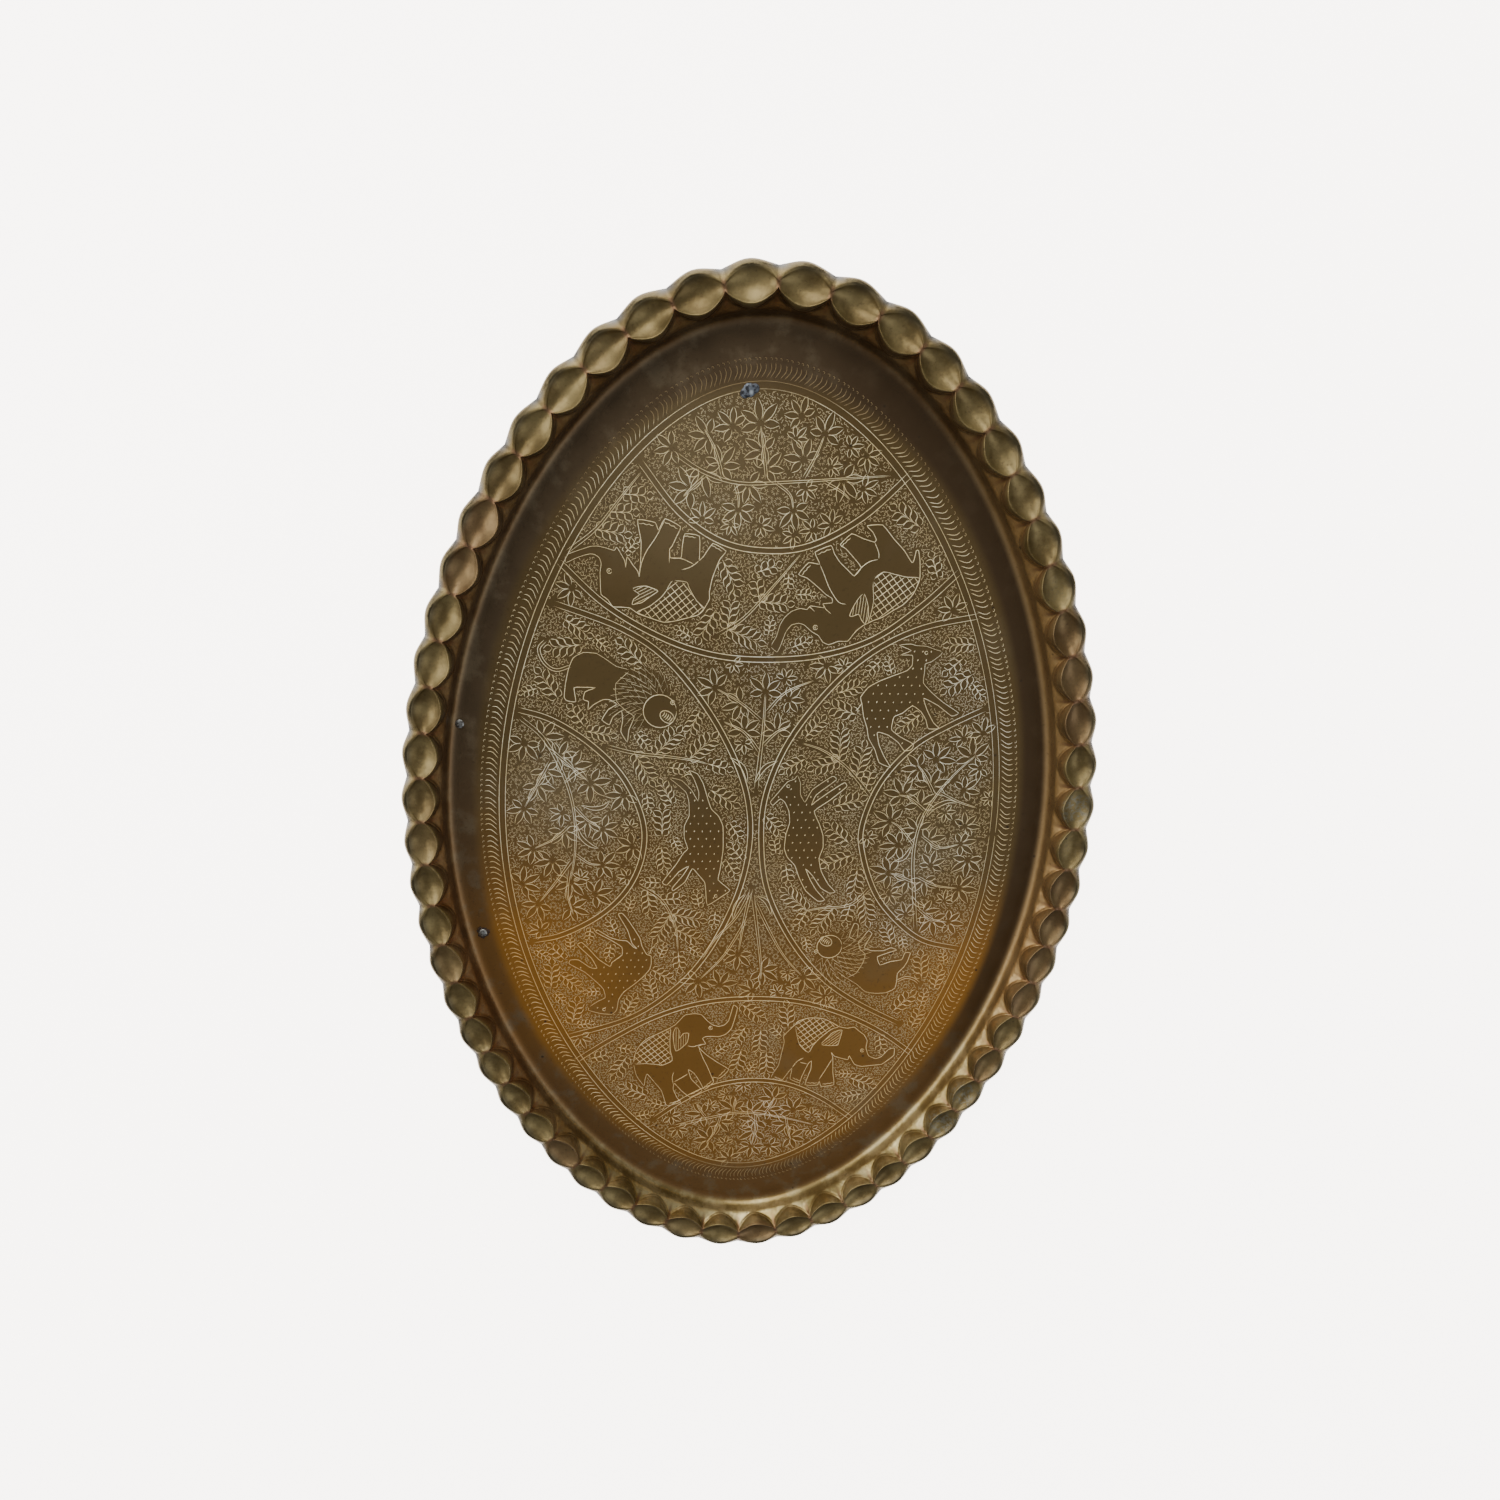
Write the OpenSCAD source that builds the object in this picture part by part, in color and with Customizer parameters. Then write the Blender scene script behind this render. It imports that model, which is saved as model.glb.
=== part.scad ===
// Oval brass serving tray, raised from one sheet: a flat floor, a sloping wall and a
// rim hammered into a row of thumbprint bowls, with its edge turned down outside them.
// Two rivets and a lump of solder close old holes in the floor.
// Origin at the middle of the underside, +Y along the tray, +Z up out of it.

/* [Tray] */
// Length over the turned-down edge
tray_l = 566; // [420:2:700]
// Width over the turned-down edge
tray_w = 383; // [300:1:520]
// Height of the bowls' inner lips above the table
lip_h = 22.2; // [18:0.2:32]
// Thickness of the sheet
sheet_t = 1.2; // [0.8:0.1:1.5]
// How far the oval is drawn in between its four ends, as a share of its size
draw_in = 0.0105; // [0:0.0005:0.02]

/* [Rim bowls] */
// Number of thumbprint bowls round the rim
bowl_count = 58; // [44:1:66]
// Width of a bowl across the rim, lip to lip
bowl_w = 16; // [13:0.5:20]
// Width that is left of a bowl where it meets the next one
bowl_tip_w = 3.6; // [2.4:0.2:6]
// Depth of a bowl below its lips
bowl_d = 4.6; // [2:0.2:6]
// Turn of the row of bowls round the oval, as a share of one bowl
bowl_turn = 0.9; // [0:0.05:1]
// How much lower the outer lip lies than the inner one
lip_fall = 1.2; // [0:0.1:2.5]
// How much lower the lips lie where two bowls meet
tip_fall = 0.8; // [0:0.1:1.5]

/* [Turned-down edge] */
// Width of the roll outside the outer lip
roll_w = 2.8; // [2.2:0.1:5]
// Depth of the edge below the outer lip
edge_d = 6; // [4.5:0.2:9]
// Depth of the notch in the edge between two bowls
notch_d = 3.2; // [0:0.1:4]

/* [Wall] */
// Distance of the wall's foot inside the middle of the bowls
foot_in = 10.8; // [10:0.1:16]
// Width of the bend between the floor and the wall's foot
bend_w = 3; // [2:0.2:6]
// Depth of the crease below a bowl's inner lip
crease_d = 11.2; // [8:0.2:13]
// How far the crease stands in from the lip above it
crease_in = 0.9; // [0:0.1:1.2]

/* [Rivets] */
// Diameter of the rivets' shanks
rivet_d = 3; // [2:0.1:4]
// Diameter of the rivets' domed heads
rivet_head_d = 4.8; // [4.2:0.1:7]
// Height of the heads above the floor
rivet_head_h = 1.5; // [0.8:0.1:2.5]
// Diameter of the flush tails, in the countersunk underside
rivet_tail_d = 4.6; // [4.2:0.1:6]
// Depth of the countersinks
rivet_sink = 0.6; // [0.3:0.05:0.7]
// Distance of the front rivet along the rim from the left end of the short axis
front_rivet_along = 61; // [20:1:120]
// Distance of the front rivet inside the middle of the bowls
front_rivet_in = 20.5; // [19:0.5:60]
// Distance of the back rivet along the rim from the left end of the short axis
back_rivet_along = 65; // [20:1:120]
// Distance of the back rivet inside the middle of the bowls
back_rivet_in = 16.8; // [16.5:0.1:60]

/* [Solder] */
// Diameter of the hole that the solder fills
solder_hole_d = 3.6; // [2:0.1:5]
// Distance of the solder along the rim from the back end of the long axis
solder_along = 8; // [0:1:60]
// Distance of the solder inside the middle of the bowls
solder_in = 43; // [24:0.5:90]

/* [Hidden] */

// The oval through the middle of the bowls
ring_a = tray_w / 2 - bowl_w / 2 - roll_w;
ring_b = tray_l / 2 - bowl_w / 2 - roll_w;

function oval(t) = [
    ring_a * (cos(t) + draw_in * cos(3 * t)) / (1 + draw_in),
    ring_b * (sin(t) - draw_in * sin(3 * t)) / (1 + draw_in)
];
function oval_normal(t) =
    let (d = oval(t + 0.01) - oval(t - 0.01))
    [d[1], -d[0]] / norm(d);

// Distance run along the oval from its +X end, against the angle that it has reached
arc_steps = 720;
arc_step = 360 / arc_steps;
arc_table = [
    for (i = 0, run = 0; i <= arc_steps;
         run = run + norm(oval((i + 1) * arc_step) - oval(i * arc_step)), i = i + 1)
        [run, i * arc_step]
];
perimeter = arc_table[arc_steps][0];

// A point of the plan: so far round the oval, and so far outside it
function wrap(run) = run - perimeter * floor(run / perimeter);
function plan_point(run, out) =
    let (t = lookup(wrap(run), arc_table))
    oval(t) + out * oval_normal(t);

// How full a bowl is at a place along it: 1 in its middle, 0 where it meets the next
bowl_l = perimeter / bowl_count;
lip_r = (pow(bowl_l / 2, 2) + pow(bowl_w / 2, 2)) / bowl_w;
function fullness(p) = (sqrt(pow(lip_r, 2) - pow(p * bowl_l, 2)) - lip_r) * 2 / bowl_w + 1;

// Section of the upper skin, from the floor's edge out to the turned-down edge
bend_rise = [0.1, 0.55];
wall_toe = [1.1, 3];
function blend(from, to, share) = from + (to - from) * share;
function lip_out(f) = blend(bowl_tip_w, bowl_w, f) / 2;
function lip_z(f) = lip_h - tip_fall * (1 - f);
function bowl_z(f, share) =
    lip_z(f) - lip_fall * f * (1 + share) / 2 - bowl_d * f * (1 - pow(share, 2));
function edge_out(f) = bowl_w / 2 + roll_w - notch_d * (1 - f);
function crease(f) = [-lip_out(f) - crease_in, lip_z(f) - blend(1.6, crease_d, f)];
function bulge(f) = blend(crease(f), [-lip_out(f), lip_z(f)], 0.5) - [0.4 * f, 0];
roll_shoulder = 0.55;
roll_fall = [0.5, 2.6];
edge_tuck = 0.5;

function upper(f) = [
    [-foot_in - bend_w, sheet_t],
    [-foot_in - bend_w * 0.35, sheet_t + bend_rise[0] * bend_w],
    [-foot_in, sheet_t + bend_rise[1] * bend_w],
    [-foot_in + wall_toe[0], sheet_t + bend_w * bend_rise[1] + wall_toe[1]],
    crease(f),
    bulge(f),
    [-lip_out(f), lip_z(f)],
    for (share = [-0.55, 0, 0.55]) [share * lip_out(f), bowl_z(f, share)],
    [lip_out(f), bowl_z(f, 1)],
    [blend(lip_out(f), edge_out(f), roll_shoulder), bowl_z(f, 1) - roll_fall[0]],
    [edge_out(f), bowl_z(f, 1) - roll_fall[1]],
    [edge_out(f) - edge_tuck, bowl_z(f, 1) - edge_d]
];

// Section of the lower skin, from the turned-down edge back to the floor's edge
function lower(f) = [
    [edge_out(f) - edge_tuck - sheet_t, bowl_z(f, 1) - edge_d],
    [edge_out(f) - sheet_t, bowl_z(f, 1) - roll_fall[1] - sheet_t * 0.3],
    [lip_out(f) - sheet_t * 0.2, bowl_z(f, 1) - sheet_t * 1.15],
    [0.4 * lip_out(f) * f + sheet_t * 0.4, bowl_z(f, 0.4) - sheet_t],
    [-0.4 * lip_out(f) * f - sheet_t * 0.4, bowl_z(f, -0.4) - sheet_t],
    [-lip_out(f) + sheet_t, lip_z(f) - sheet_t * blend(1.6, 2.5, f)],
    crease(f) + sheet_t * [1, blend(-0.9, -0.15, f)],
    [-foot_in + wall_toe[0] + sheet_t, sheet_t * 0.85 + bend_w * bend_rise[1] + wall_toe[1]],
    [-foot_in + sheet_t * 0.75, bend_rise[1] * bend_w],
    [-foot_in - bend_w * 0.35 + sheet_t * 0.1, 0],
    [-foot_in - bend_w, 0]
];

// Sections are set four to a bowl, all the way round
bowl_steps = 4;
sections = bowl_count * bowl_steps;
function section_run(k) = (k / bowl_steps + bowl_turn) * bowl_l;
function section_share(k) = let (p = (k % bowl_steps) / bowl_steps) p > 0.5 ? p - 1 : p;
function section(k) =
    let (f = fullness(section_share(k)))
    [for (q = concat(upper(f), lower(f)))
        let (xy = plan_point(section_run(k), q[0]))
        [xy[0], xy[1], q[1]]];
section_size = len(upper(0)) + len(lower(0));

module rim() {
    points = [for (k = [0 : sections - 1]) each section(k)];
    faces = [
        for (k = [0 : sections - 1], i = [0 : section_size - 1])
            let (
                here = k * section_size,
                next = (k + 1) % sections * section_size,
                j = (i + 1) % section_size
            )
            each [[here + i, next + j, here + j], [here + i, next + i, next + j]]
    ];
    polyhedron(points, faces, convexity = 10);
}

module floor_plate() {
    edge = [for (k = [0 : sections - 1]) plan_point(section_run(k), -foot_in - bend_w)];
    linear_extrude(sheet_t) polygon(edge);
}

// Where the floor was pierced
front_rivet = plan_point(perimeter / 2 + front_rivet_along, -front_rivet_in);
back_rivet = plan_point(perimeter / 2 - back_rivet_along, -back_rivet_in);
solder_spot = plan_point(perimeter / 4 + solder_along, -solder_in);

module at(spot, z = 0) {
    translate([spot[0], spot[1], z]) children();
}

module rivet_shank() {
    rotate_extrude($fn = 48)
        polygon([
            [0, 0], [rivet_tail_d / 2, 0], [rivet_d / 2, rivet_sink],
            [rivet_d / 2, sheet_t], [0, sheet_t]
        ]);
}

module cap(r, h) {
    ball_r = (pow(r, 2) + pow(h, 2)) / (2 * h);
    intersection() {
        translate([0, 0, h - ball_r]) sphere(ball_r, $fn = 48);
        cylinder(h = h, r = r + 1, $fn = 48);
    }
}

module rivet() {
    rivet_shank();
    translate([0, 0, sheet_t]) cap(rivet_head_d / 2, rivet_head_h);
}

module tray_sheet() {
    color("darkgoldenrod")
        union() {
            rim();
            difference() {
                floor_plate();
                at(front_rivet) rivet_shank();
                at(back_rivet) rivet_shank();
                at(solder_spot, -1) cylinder(h = sheet_t + 2, d = solder_hole_d, $fn = 48);
            }
        }
}

module floor_rivets() {
    color("silver") {
        at(front_rivet) rivet();
        at(back_rivet) rivet();
    }
}

// Solder fills its hole and has run out over the floor in three low lumps
module solder_plug() {
    lumps = [[0, 0, 3.6, 0.9], [3.6, 1, 2.6, 0.6], [-2.6, -1.8, 2.8, 0.7]];
    color("lightslategray")
        at(solder_spot) {
            cylinder(h = sheet_t + lumps[0][3] / 2, d = solder_hole_d, $fn = 48);
            for (lump = lumps)
                translate([lump[0], lump[1], sheet_t]) cap(lump[2], lump[3]);
        }
}

tray_sheet();
floor_rivets();
solder_plug();
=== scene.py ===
"""An old oval brass tray: its hammered rim, its engraved floor and the repairs in it.

Plan sizes below are millimetres, and become metres only when a mesh is written.
"""

import math

import bpy
import numpy as np
from mathutils import Matrix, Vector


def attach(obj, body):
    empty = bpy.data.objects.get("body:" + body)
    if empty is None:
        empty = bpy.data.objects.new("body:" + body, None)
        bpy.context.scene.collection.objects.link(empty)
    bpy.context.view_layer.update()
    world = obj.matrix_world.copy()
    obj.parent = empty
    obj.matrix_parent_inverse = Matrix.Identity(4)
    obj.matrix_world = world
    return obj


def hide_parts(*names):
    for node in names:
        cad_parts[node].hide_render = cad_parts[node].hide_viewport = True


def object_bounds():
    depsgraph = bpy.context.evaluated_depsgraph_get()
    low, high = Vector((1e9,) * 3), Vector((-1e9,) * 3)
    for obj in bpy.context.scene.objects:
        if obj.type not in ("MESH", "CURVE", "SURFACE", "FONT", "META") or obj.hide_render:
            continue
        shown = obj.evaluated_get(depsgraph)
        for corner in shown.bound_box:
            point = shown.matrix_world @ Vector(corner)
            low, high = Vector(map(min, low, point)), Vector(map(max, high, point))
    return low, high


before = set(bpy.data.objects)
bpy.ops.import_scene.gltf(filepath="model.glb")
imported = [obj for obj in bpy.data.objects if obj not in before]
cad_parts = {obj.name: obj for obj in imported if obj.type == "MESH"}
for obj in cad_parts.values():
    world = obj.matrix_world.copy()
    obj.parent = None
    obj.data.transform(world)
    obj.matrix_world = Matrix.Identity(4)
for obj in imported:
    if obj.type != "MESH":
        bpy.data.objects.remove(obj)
cad_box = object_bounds()

MM = 0.001
TURN = 2 * math.pi
chance = np.random.default_rng(58)

# The tray's sizes, which the frame's box and the sheet's own design give
HALF_W = cad_box[1].x / MM
HALF_L = cad_box[1].y / MM
LIP_H = 22.2
SHEET = 1.2
BOWLS = 58
BOWL_W = 16.0
BOWL_TIP_W = 2.6
BOWL_D = 4.6
BOWL_TURN = 0.9
LIP_FALL = 1.2
TIP_FALL = 0.8
ROLL_W = 2.8
EDGE_D = 6.0
NOTCH_D = 2.9
FOOT_IN = 10.8
BEND_W = 3.0
CREASE_D = 11.2
CREASE_IN = 0.9
DRAW_IN = 0.0105
SPARE = 0.15
RING_A = HALF_W - BOWL_W / 2 - ROLL_W - SPARE
RING_B = HALF_L - BOWL_W / 2 - ROLL_W - SPARE

# Places of the engraved rings, measured in from the middle of the bowls
BEADS_IN = 28.8
HOOKS_IN = (29.8, 37.4)
BAND_IN = (38.4, 41.8)
FIELD_IN = 42.2
LINE_H = 0.16
LINE_BASE = SHEET - 0.04

# Widths of the engraver's strokes
RING_LINE = 0.42
HOOK_LINE = 0.4
BEAD_LINE = 0.36
ARC_LINE = 0.5
LOBE_LINE = 0.36
PLUME_LINE = 0.38
STEM_LINE = 0.34
OUTLINE = 0.46
DETAIL_LINE = 0.42

# Places of the repairs on the floor
RIVET_R = 2.4
RIVET_FRONT = (-156, -60)
RIVET_BACK = (-159.5, 64)
SOLDER_AT = (-8, 229)


# ---------------------------------------------------------------- the oval plan

def oval(t):
    x = RING_A * (np.cos(t) + DRAW_IN * np.cos(3 * t)) / (1 + DRAW_IN)
    y = RING_B * (np.sin(t) - DRAW_IN * np.sin(3 * t)) / (1 + DRAW_IN)
    return np.stack([x, y], -1)


def oval_normal(t):
    d = oval(t + 1e-4) - oval(t - 1e-4)
    out = np.stack([d[..., 1], -d[..., 0]], -1)
    return out / np.linalg.norm(out, axis=-1, keepdims=True)


OVAL_T = np.linspace(0, TURN, 7201)
OVAL_STEPS = np.linalg.norm(np.diff(oval(OVAL_T), axis=0), axis=1)
OVAL_RUN = np.concatenate([[0], np.cumsum(OVAL_STEPS)])
PERIMETER = OVAL_RUN[-1]
BOWL_L = PERIMETER / BOWLS


def plan_point(run, out):
    """Points so far round the oval and so far outside it."""
    t = np.interp(np.mod(run, PERIMETER), OVAL_RUN, OVAL_T)
    return oval(t) + np.asarray(out)[..., None] * oval_normal(t)


def place_on_oval(points):
    """How far round the oval each point is, and how far outside it."""
    coarse = OVAL_T[::6]
    ring = oval(coarse)
    run, out = np.empty(len(points)), np.empty(len(points))
    for start in range(0, len(points), 4000):
        part = points[start:start + 4000]
        gap = part[:, None, :] - ring[None, :, :]
        near = (gap ** 2).sum(-1).argmin(1)
        t = coarse[near]
        along = gap[np.arange(len(part)), near]
        side = oval_normal(t)
        out[start:start + 4000] = (along * side).sum(-1)
        slip = along[:, 0] * -side[:, 1] + along[:, 1] * side[:, 0]
        run[start:start + 4000] = np.interp(t, OVAL_T, OVAL_RUN) + slip
    return run, out


# ---------------------------------------------------------------- the tray's sheet

def blend(low, high, share):
    return low + (high - low) * share


def bezier(a, b, c, share):
    return (1 - share) ** 2 * a + 2 * share * (1 - share) * b + share ** 2 * c


LIP_R = ((BOWL_L / 2) ** 2 + (BOWL_W / 2) ** 2) / BOWL_W


def wave(share):
    """1 in the middle of a bowl, 0 where it meets the next one, and smooth over the meeting."""
    return 0.5 + 0.5 * np.cos(TURN * share)


def fullness(share):
    """1 in the middle of a bowl and 0 where it meets the next one, with an almond's pointed ends."""
    chord = np.sqrt(LIP_R ** 2 - (share * BOWL_L) ** 2) - LIP_R
    return 0.8 * np.clip(chord * 2 / BOWL_W + 1, 0, 1) + 0.2 * wave(share)


def section(f, swell, deep):
    """The sheet's section at a fullness: distances out and heights, from the floor's edge over the
    lips to the turned-down edge and back underneath. Each argument holds a value for each column."""
    one = np.ones_like(f)
    lip_out = blend(BOWL_TIP_W, BOWL_W, f) / 2
    lip_z = LIP_H - TIP_FALL * (1 - f)
    outer_z = lip_z - LIP_FALL * f
    edge_out = BOWL_W / 2 + ROLL_W - NOTCH_D * (1 - 0.5 * swell - 0.5 * f)
    crease_out = -lip_out - CREASE_IN
    crease_z = lip_z - blend(1.6, CREASE_D, f)
    toe_out, toe_z = -FOOT_IN + 0.9, SHEET + 4.2
    band_out, band_z = -BOWL_W / 2 - CREASE_IN - 0.05, LIP_H - CREASE_D - 0.9

    def bowl_z(s):
        return lip_z - LIP_FALL * f * (1 + s) / 2 - deep * f * (1 - s ** 2)

    rows = []

    def row(out, z):
        rows.append((out * one, z * one))

    # the bend from the floor into the wall, and the wall's smooth lower band
    bend_out = (-FOOT_IN - BEND_W - 2.6, -FOOT_IN - 0.4, toe_out)
    bend_z = (SHEET, SHEET + 0.05, toe_z)
    for s in (0, 0.14, 0.28, 0.42, 0.56, 0.7, 0.85):
        row(bezier(*bend_out, s), bezier(*bend_z, s))
    for s in (0, 0.4, 0.75, 1):
        row(blend(toe_out, band_out, s), blend(toe_z, band_z, s))
    # the pocket under each meeting of two bowls, which ends at the crease round each bowl
    for s in (0.25, 0.6, 0.93):
        row(blend(band_out, crease_out, s), blend(band_z, crease_z, s))
    row(crease_out - 0.3, crease_z)
    row(crease_out + 0.1, crease_z + 0.35)
    # the face between the crease and the inner lip, which bulges a little inwards
    for s in (0.15, 0.35, 0.55, 0.75, 0.93):
        bulge = 1.6 * s * (1 - s) * f
        row(blend(crease_out, -lip_out, s) - bulge, blend(crease_z, lip_z, s) - 0.12 * s)
    # the inner lip's narrow rounded crest
    row(-lip_out + 0.1, lip_z)
    row(-lip_out + 0.5, lip_z - 0.12 - 0.35 * f)
    # the bowl
    for s in (-0.86, -0.7, -0.5, -0.28, -0.05, 0.2, 0.45, 0.68, 0.86):
        row(s * lip_out, bowl_z(s))
    # the outer lip and the roll outside it, which is flatter where two bowls meet
    row(lip_out - 0.5, outer_z - 0.4 * f)
    row(lip_out, outer_z + 0.05)
    for turn in (20, 40, 58, 74, 90):
        a = math.radians(turn)
        drop = f * (1 - math.cos(a)) + (1 - f) * math.sin(a) ** 1.3
        row(blend(lip_out + 0.3, edge_out, math.sin(a)), outer_z - 2.6 * drop)
    row(edge_out - 0.1, outer_z - 4.2)
    row(edge_out - 0.5, outer_z - EDGE_D + 0.2)
    row(edge_out - 0.9, outer_z - EDGE_D)
    # back underneath
    row(edge_out - 0.5 - SHEET, outer_z - EDGE_D + 0.2)
    row(edge_out - SHEET, outer_z - 2.6 - SHEET * 0.3)
    row(lip_out - SHEET * 0.2, outer_z - SHEET * 1.15)
    for s in (0.5, 0, -0.5):
        row(s * lip_out * f + s * SHEET, bowl_z(s) - SHEET)
    row(-lip_out + SHEET, lip_z - SHEET * blend(1.6, 2.5, f))
    row(crease_out + SHEET, crease_z + SHEET * blend(-0.9, -0.15, f))
    row(band_out + SHEET, band_z - 0.3)
    row(toe_out + SHEET, toe_z - 0.15 * SHEET)
    row(-FOOT_IN + SHEET * 0.75, 0.5 * BEND_W)
    row(-FOOT_IN - BEND_W * 0.35 + SHEET * 0.1, 0.05)
    row(-FOOT_IN - BEND_W, 0)
    return np.array([r[0] for r in rows]), np.array([r[1] for r in rows])


COLUMNS = 18


def only(piece):
    bpy.ops.object.select_all(action="DESELECT")
    piece.select_set(True)
    bpy.context.view_layer.objects.active = piece


def name_piece(name):
    piece = bpy.context.object
    piece.name = name
    piece.data.name = name
    return piece


def apply_modifier(piece, kind, **settings):
    only(piece)
    modifier = piece.modifiers.new(kind.lower(), kind)
    for key, value in settings.items():
        setattr(modifier, key, value)
    bpy.ops.object.modifier_apply(modifier=modifier.name)


def coordinates(mesh):
    flat = np.empty(len(mesh.vertices) * 3)
    mesh.vertices.foreach_get("co", flat)
    return flat.reshape(-1, 3)


def set_coordinates(mesh, points):
    mesh.vertices.foreach_set("co", np.asarray(points, np.float32).ravel())
    mesh.update()


def bowl_habits():
    """How each bowl was hammered: its depth, and a little of its width left out."""
    depth = BOWL_D * chance.uniform(0.84, 1.1, BOWLS)
    narrow = chance.uniform(0.93, 1.0, BOWLS)
    return depth, narrow


def make_sheet():
    """One bowl's length of the section is repeated round the oval, and the floor is filled in."""
    rows = len(section(np.ones(1), np.ones(1), np.ones(1))[0]) - 1
    bpy.ops.object.select_all(action="DESELECT")
    bpy.ops.mesh.primitive_grid_add(x_subdivisions=COLUMNS, y_subdivisions=rows, size=1)
    sheet = name_piece("tray_shell")
    apply_modifier(sheet, "ARRAY", count=BOWLS, use_merge_vertices=True, merge_threshold=0.001)

    flat = coordinates(sheet.data)
    column = np.rint((flat[:, 0] + 0.5) * COLUMNS).astype(int)
    level = np.rint((flat[:, 1] + 0.5) * rows).astype(int)
    steps = np.arange(BOWLS * COLUMNS + 1)
    share = (steps % COLUMNS) / COLUMNS
    share = np.where(share > 0.5, share - 1, share)
    bowl = np.rint(steps / COLUMNS).astype(int) % BOWLS
    depth, narrow = bowl_habits()
    f = fullness(share)
    out, z = section(f * narrow[bowl], wave(share), depth[bowl])
    lean = chance.uniform(-0.07, 0.07, BOWLS)[bowl] * wave(share)
    run = (steps / COLUMNS + BOWL_TURN) * BOWL_L
    place = plan_point(run[column] + (lean[column] * out[level, column]), out[level, column])
    set_coordinates(sheet.data, np.column_stack([place, z[level, column]]) * MM)

    only(sheet)
    bpy.ops.object.mode_set(mode="EDIT")
    bpy.ops.mesh.select_all(action="SELECT")
    bpy.ops.mesh.remove_doubles(threshold=0.00001)
    bpy.ops.mesh.select_all(action="DESELECT")
    bpy.ops.mesh.select_non_manifold(extend=False)
    bpy.ops.mesh.edge_face_add()
    bpy.ops.object.mode_set(mode="OBJECT")
    close_floor(sheet)
    return sheet


def close_floor(sheet):
    """Fills the floor's upper and lower outlines and holds their edges flat with a narrow inset."""
    points = coordinates(sheet.data)
    for height in (SHEET * MM, 0.0):
        bpy.ops.object.mode_set(mode="EDIT")
        bpy.ops.mesh.select_mode(type="EDGE")
        bpy.ops.mesh.select_all(action="DESELECT")
        bpy.ops.object.mode_set(mode="OBJECT")
        counts = np.zeros(len(sheet.data.edges), int)
        for face in sheet.data.polygons:
            for key in face.loop_indices:
                counts[sheet.data.loops[key].edge_index] += 1
        for edge in sheet.data.edges:
            a, b = edge.vertices
            level = abs(points[a][2] - height) < 1e-6 and abs(points[b][2] - height) < 1e-6
            edge.select = bool(counts[edge.index] == 1 and level)
        bpy.ops.object.mode_set(mode="EDIT")
        bpy.ops.mesh.edge_face_add()
        bpy.ops.mesh.select_mode(type="FACE")
        bpy.ops.mesh.inset(thickness=0.004)
        bpy.ops.object.mode_set(mode="OBJECT")
        points = coordinates(sheet.data)
    bpy.ops.object.mode_set(mode="EDIT")
    bpy.ops.mesh.select_all(action="SELECT")
    bpy.ops.mesh.normals_make_consistent(inside=False)
    bpy.ops.object.mode_set(mode="OBJECT")


def add_rim_places(sheet):
    """Stores where each point of the sheet lies on the rim, for the patina and for the painted light and
    reflections to follow.
    """
    points = coordinates(sheet.data)[:, :2] / MM
    run, out = place_on_oval(points)
    step = run / BOWL_L - BOWL_TURN
    bowl = np.rint(step).astype(int) % BOWLS
    tone = chance.uniform(0, 1, BOWLS)[bowl]
    full = fullness(np.clip(step - np.rint(step), -0.5, 0.5))
    before_lip = np.clip(-blend(BOWL_TIP_W, BOWL_W, full) / 2 - 0.1 - out, 0, 0.5) * 2
    values = {"out": out, "fullness": full, "tone": tone, "before_lip": before_lip}
    for name, value in values.items():
        store = sheet.data.attributes.new(name, "FLOAT", "POINT")
        store.data.foreach_set("value", value.astype(np.float32))


# ---------------------------------------------------------------- materials

class Number:
    """A socket that carries a number. Sums and products of them add Math nodes."""

    def __init__(self, tree, socket):
        self.tree = tree
        self.socket = socket

    def math(self, operation, first, second=None):
        node = self.tree.nodes.new("ShaderNodeMath")
        node.operation = operation
        for place, value in enumerate((first, second)):
            if isinstance(value, Number):
                self.tree.links.new(value.socket, node.inputs[place])
            elif value is not None:
                node.inputs[place].default_value = value
        return Number(self.tree, node.outputs[0])

    def __add__(self, other):
        return self.math("ADD", self, other)

    def __radd__(self, other):
        return self.math("ADD", other, self)

    def __sub__(self, other):
        return self.math("SUBTRACT", self, other)

    def __rsub__(self, other):
        return self.math("SUBTRACT", other, self)

    def __mul__(self, other):
        return self.math("MULTIPLY", self, other)

    def __rmul__(self, other):
        return self.math("MULTIPLY", other, self)

    def __truediv__(self, other):
        return self.math("DIVIDE", self, other)

    def __pow__(self, other):
        return self.math("POWER", self, other)

    def clip(self):
        return self.math("MINIMUM", self.math("MAXIMUM", self, 0.0), 1.0)


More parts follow.
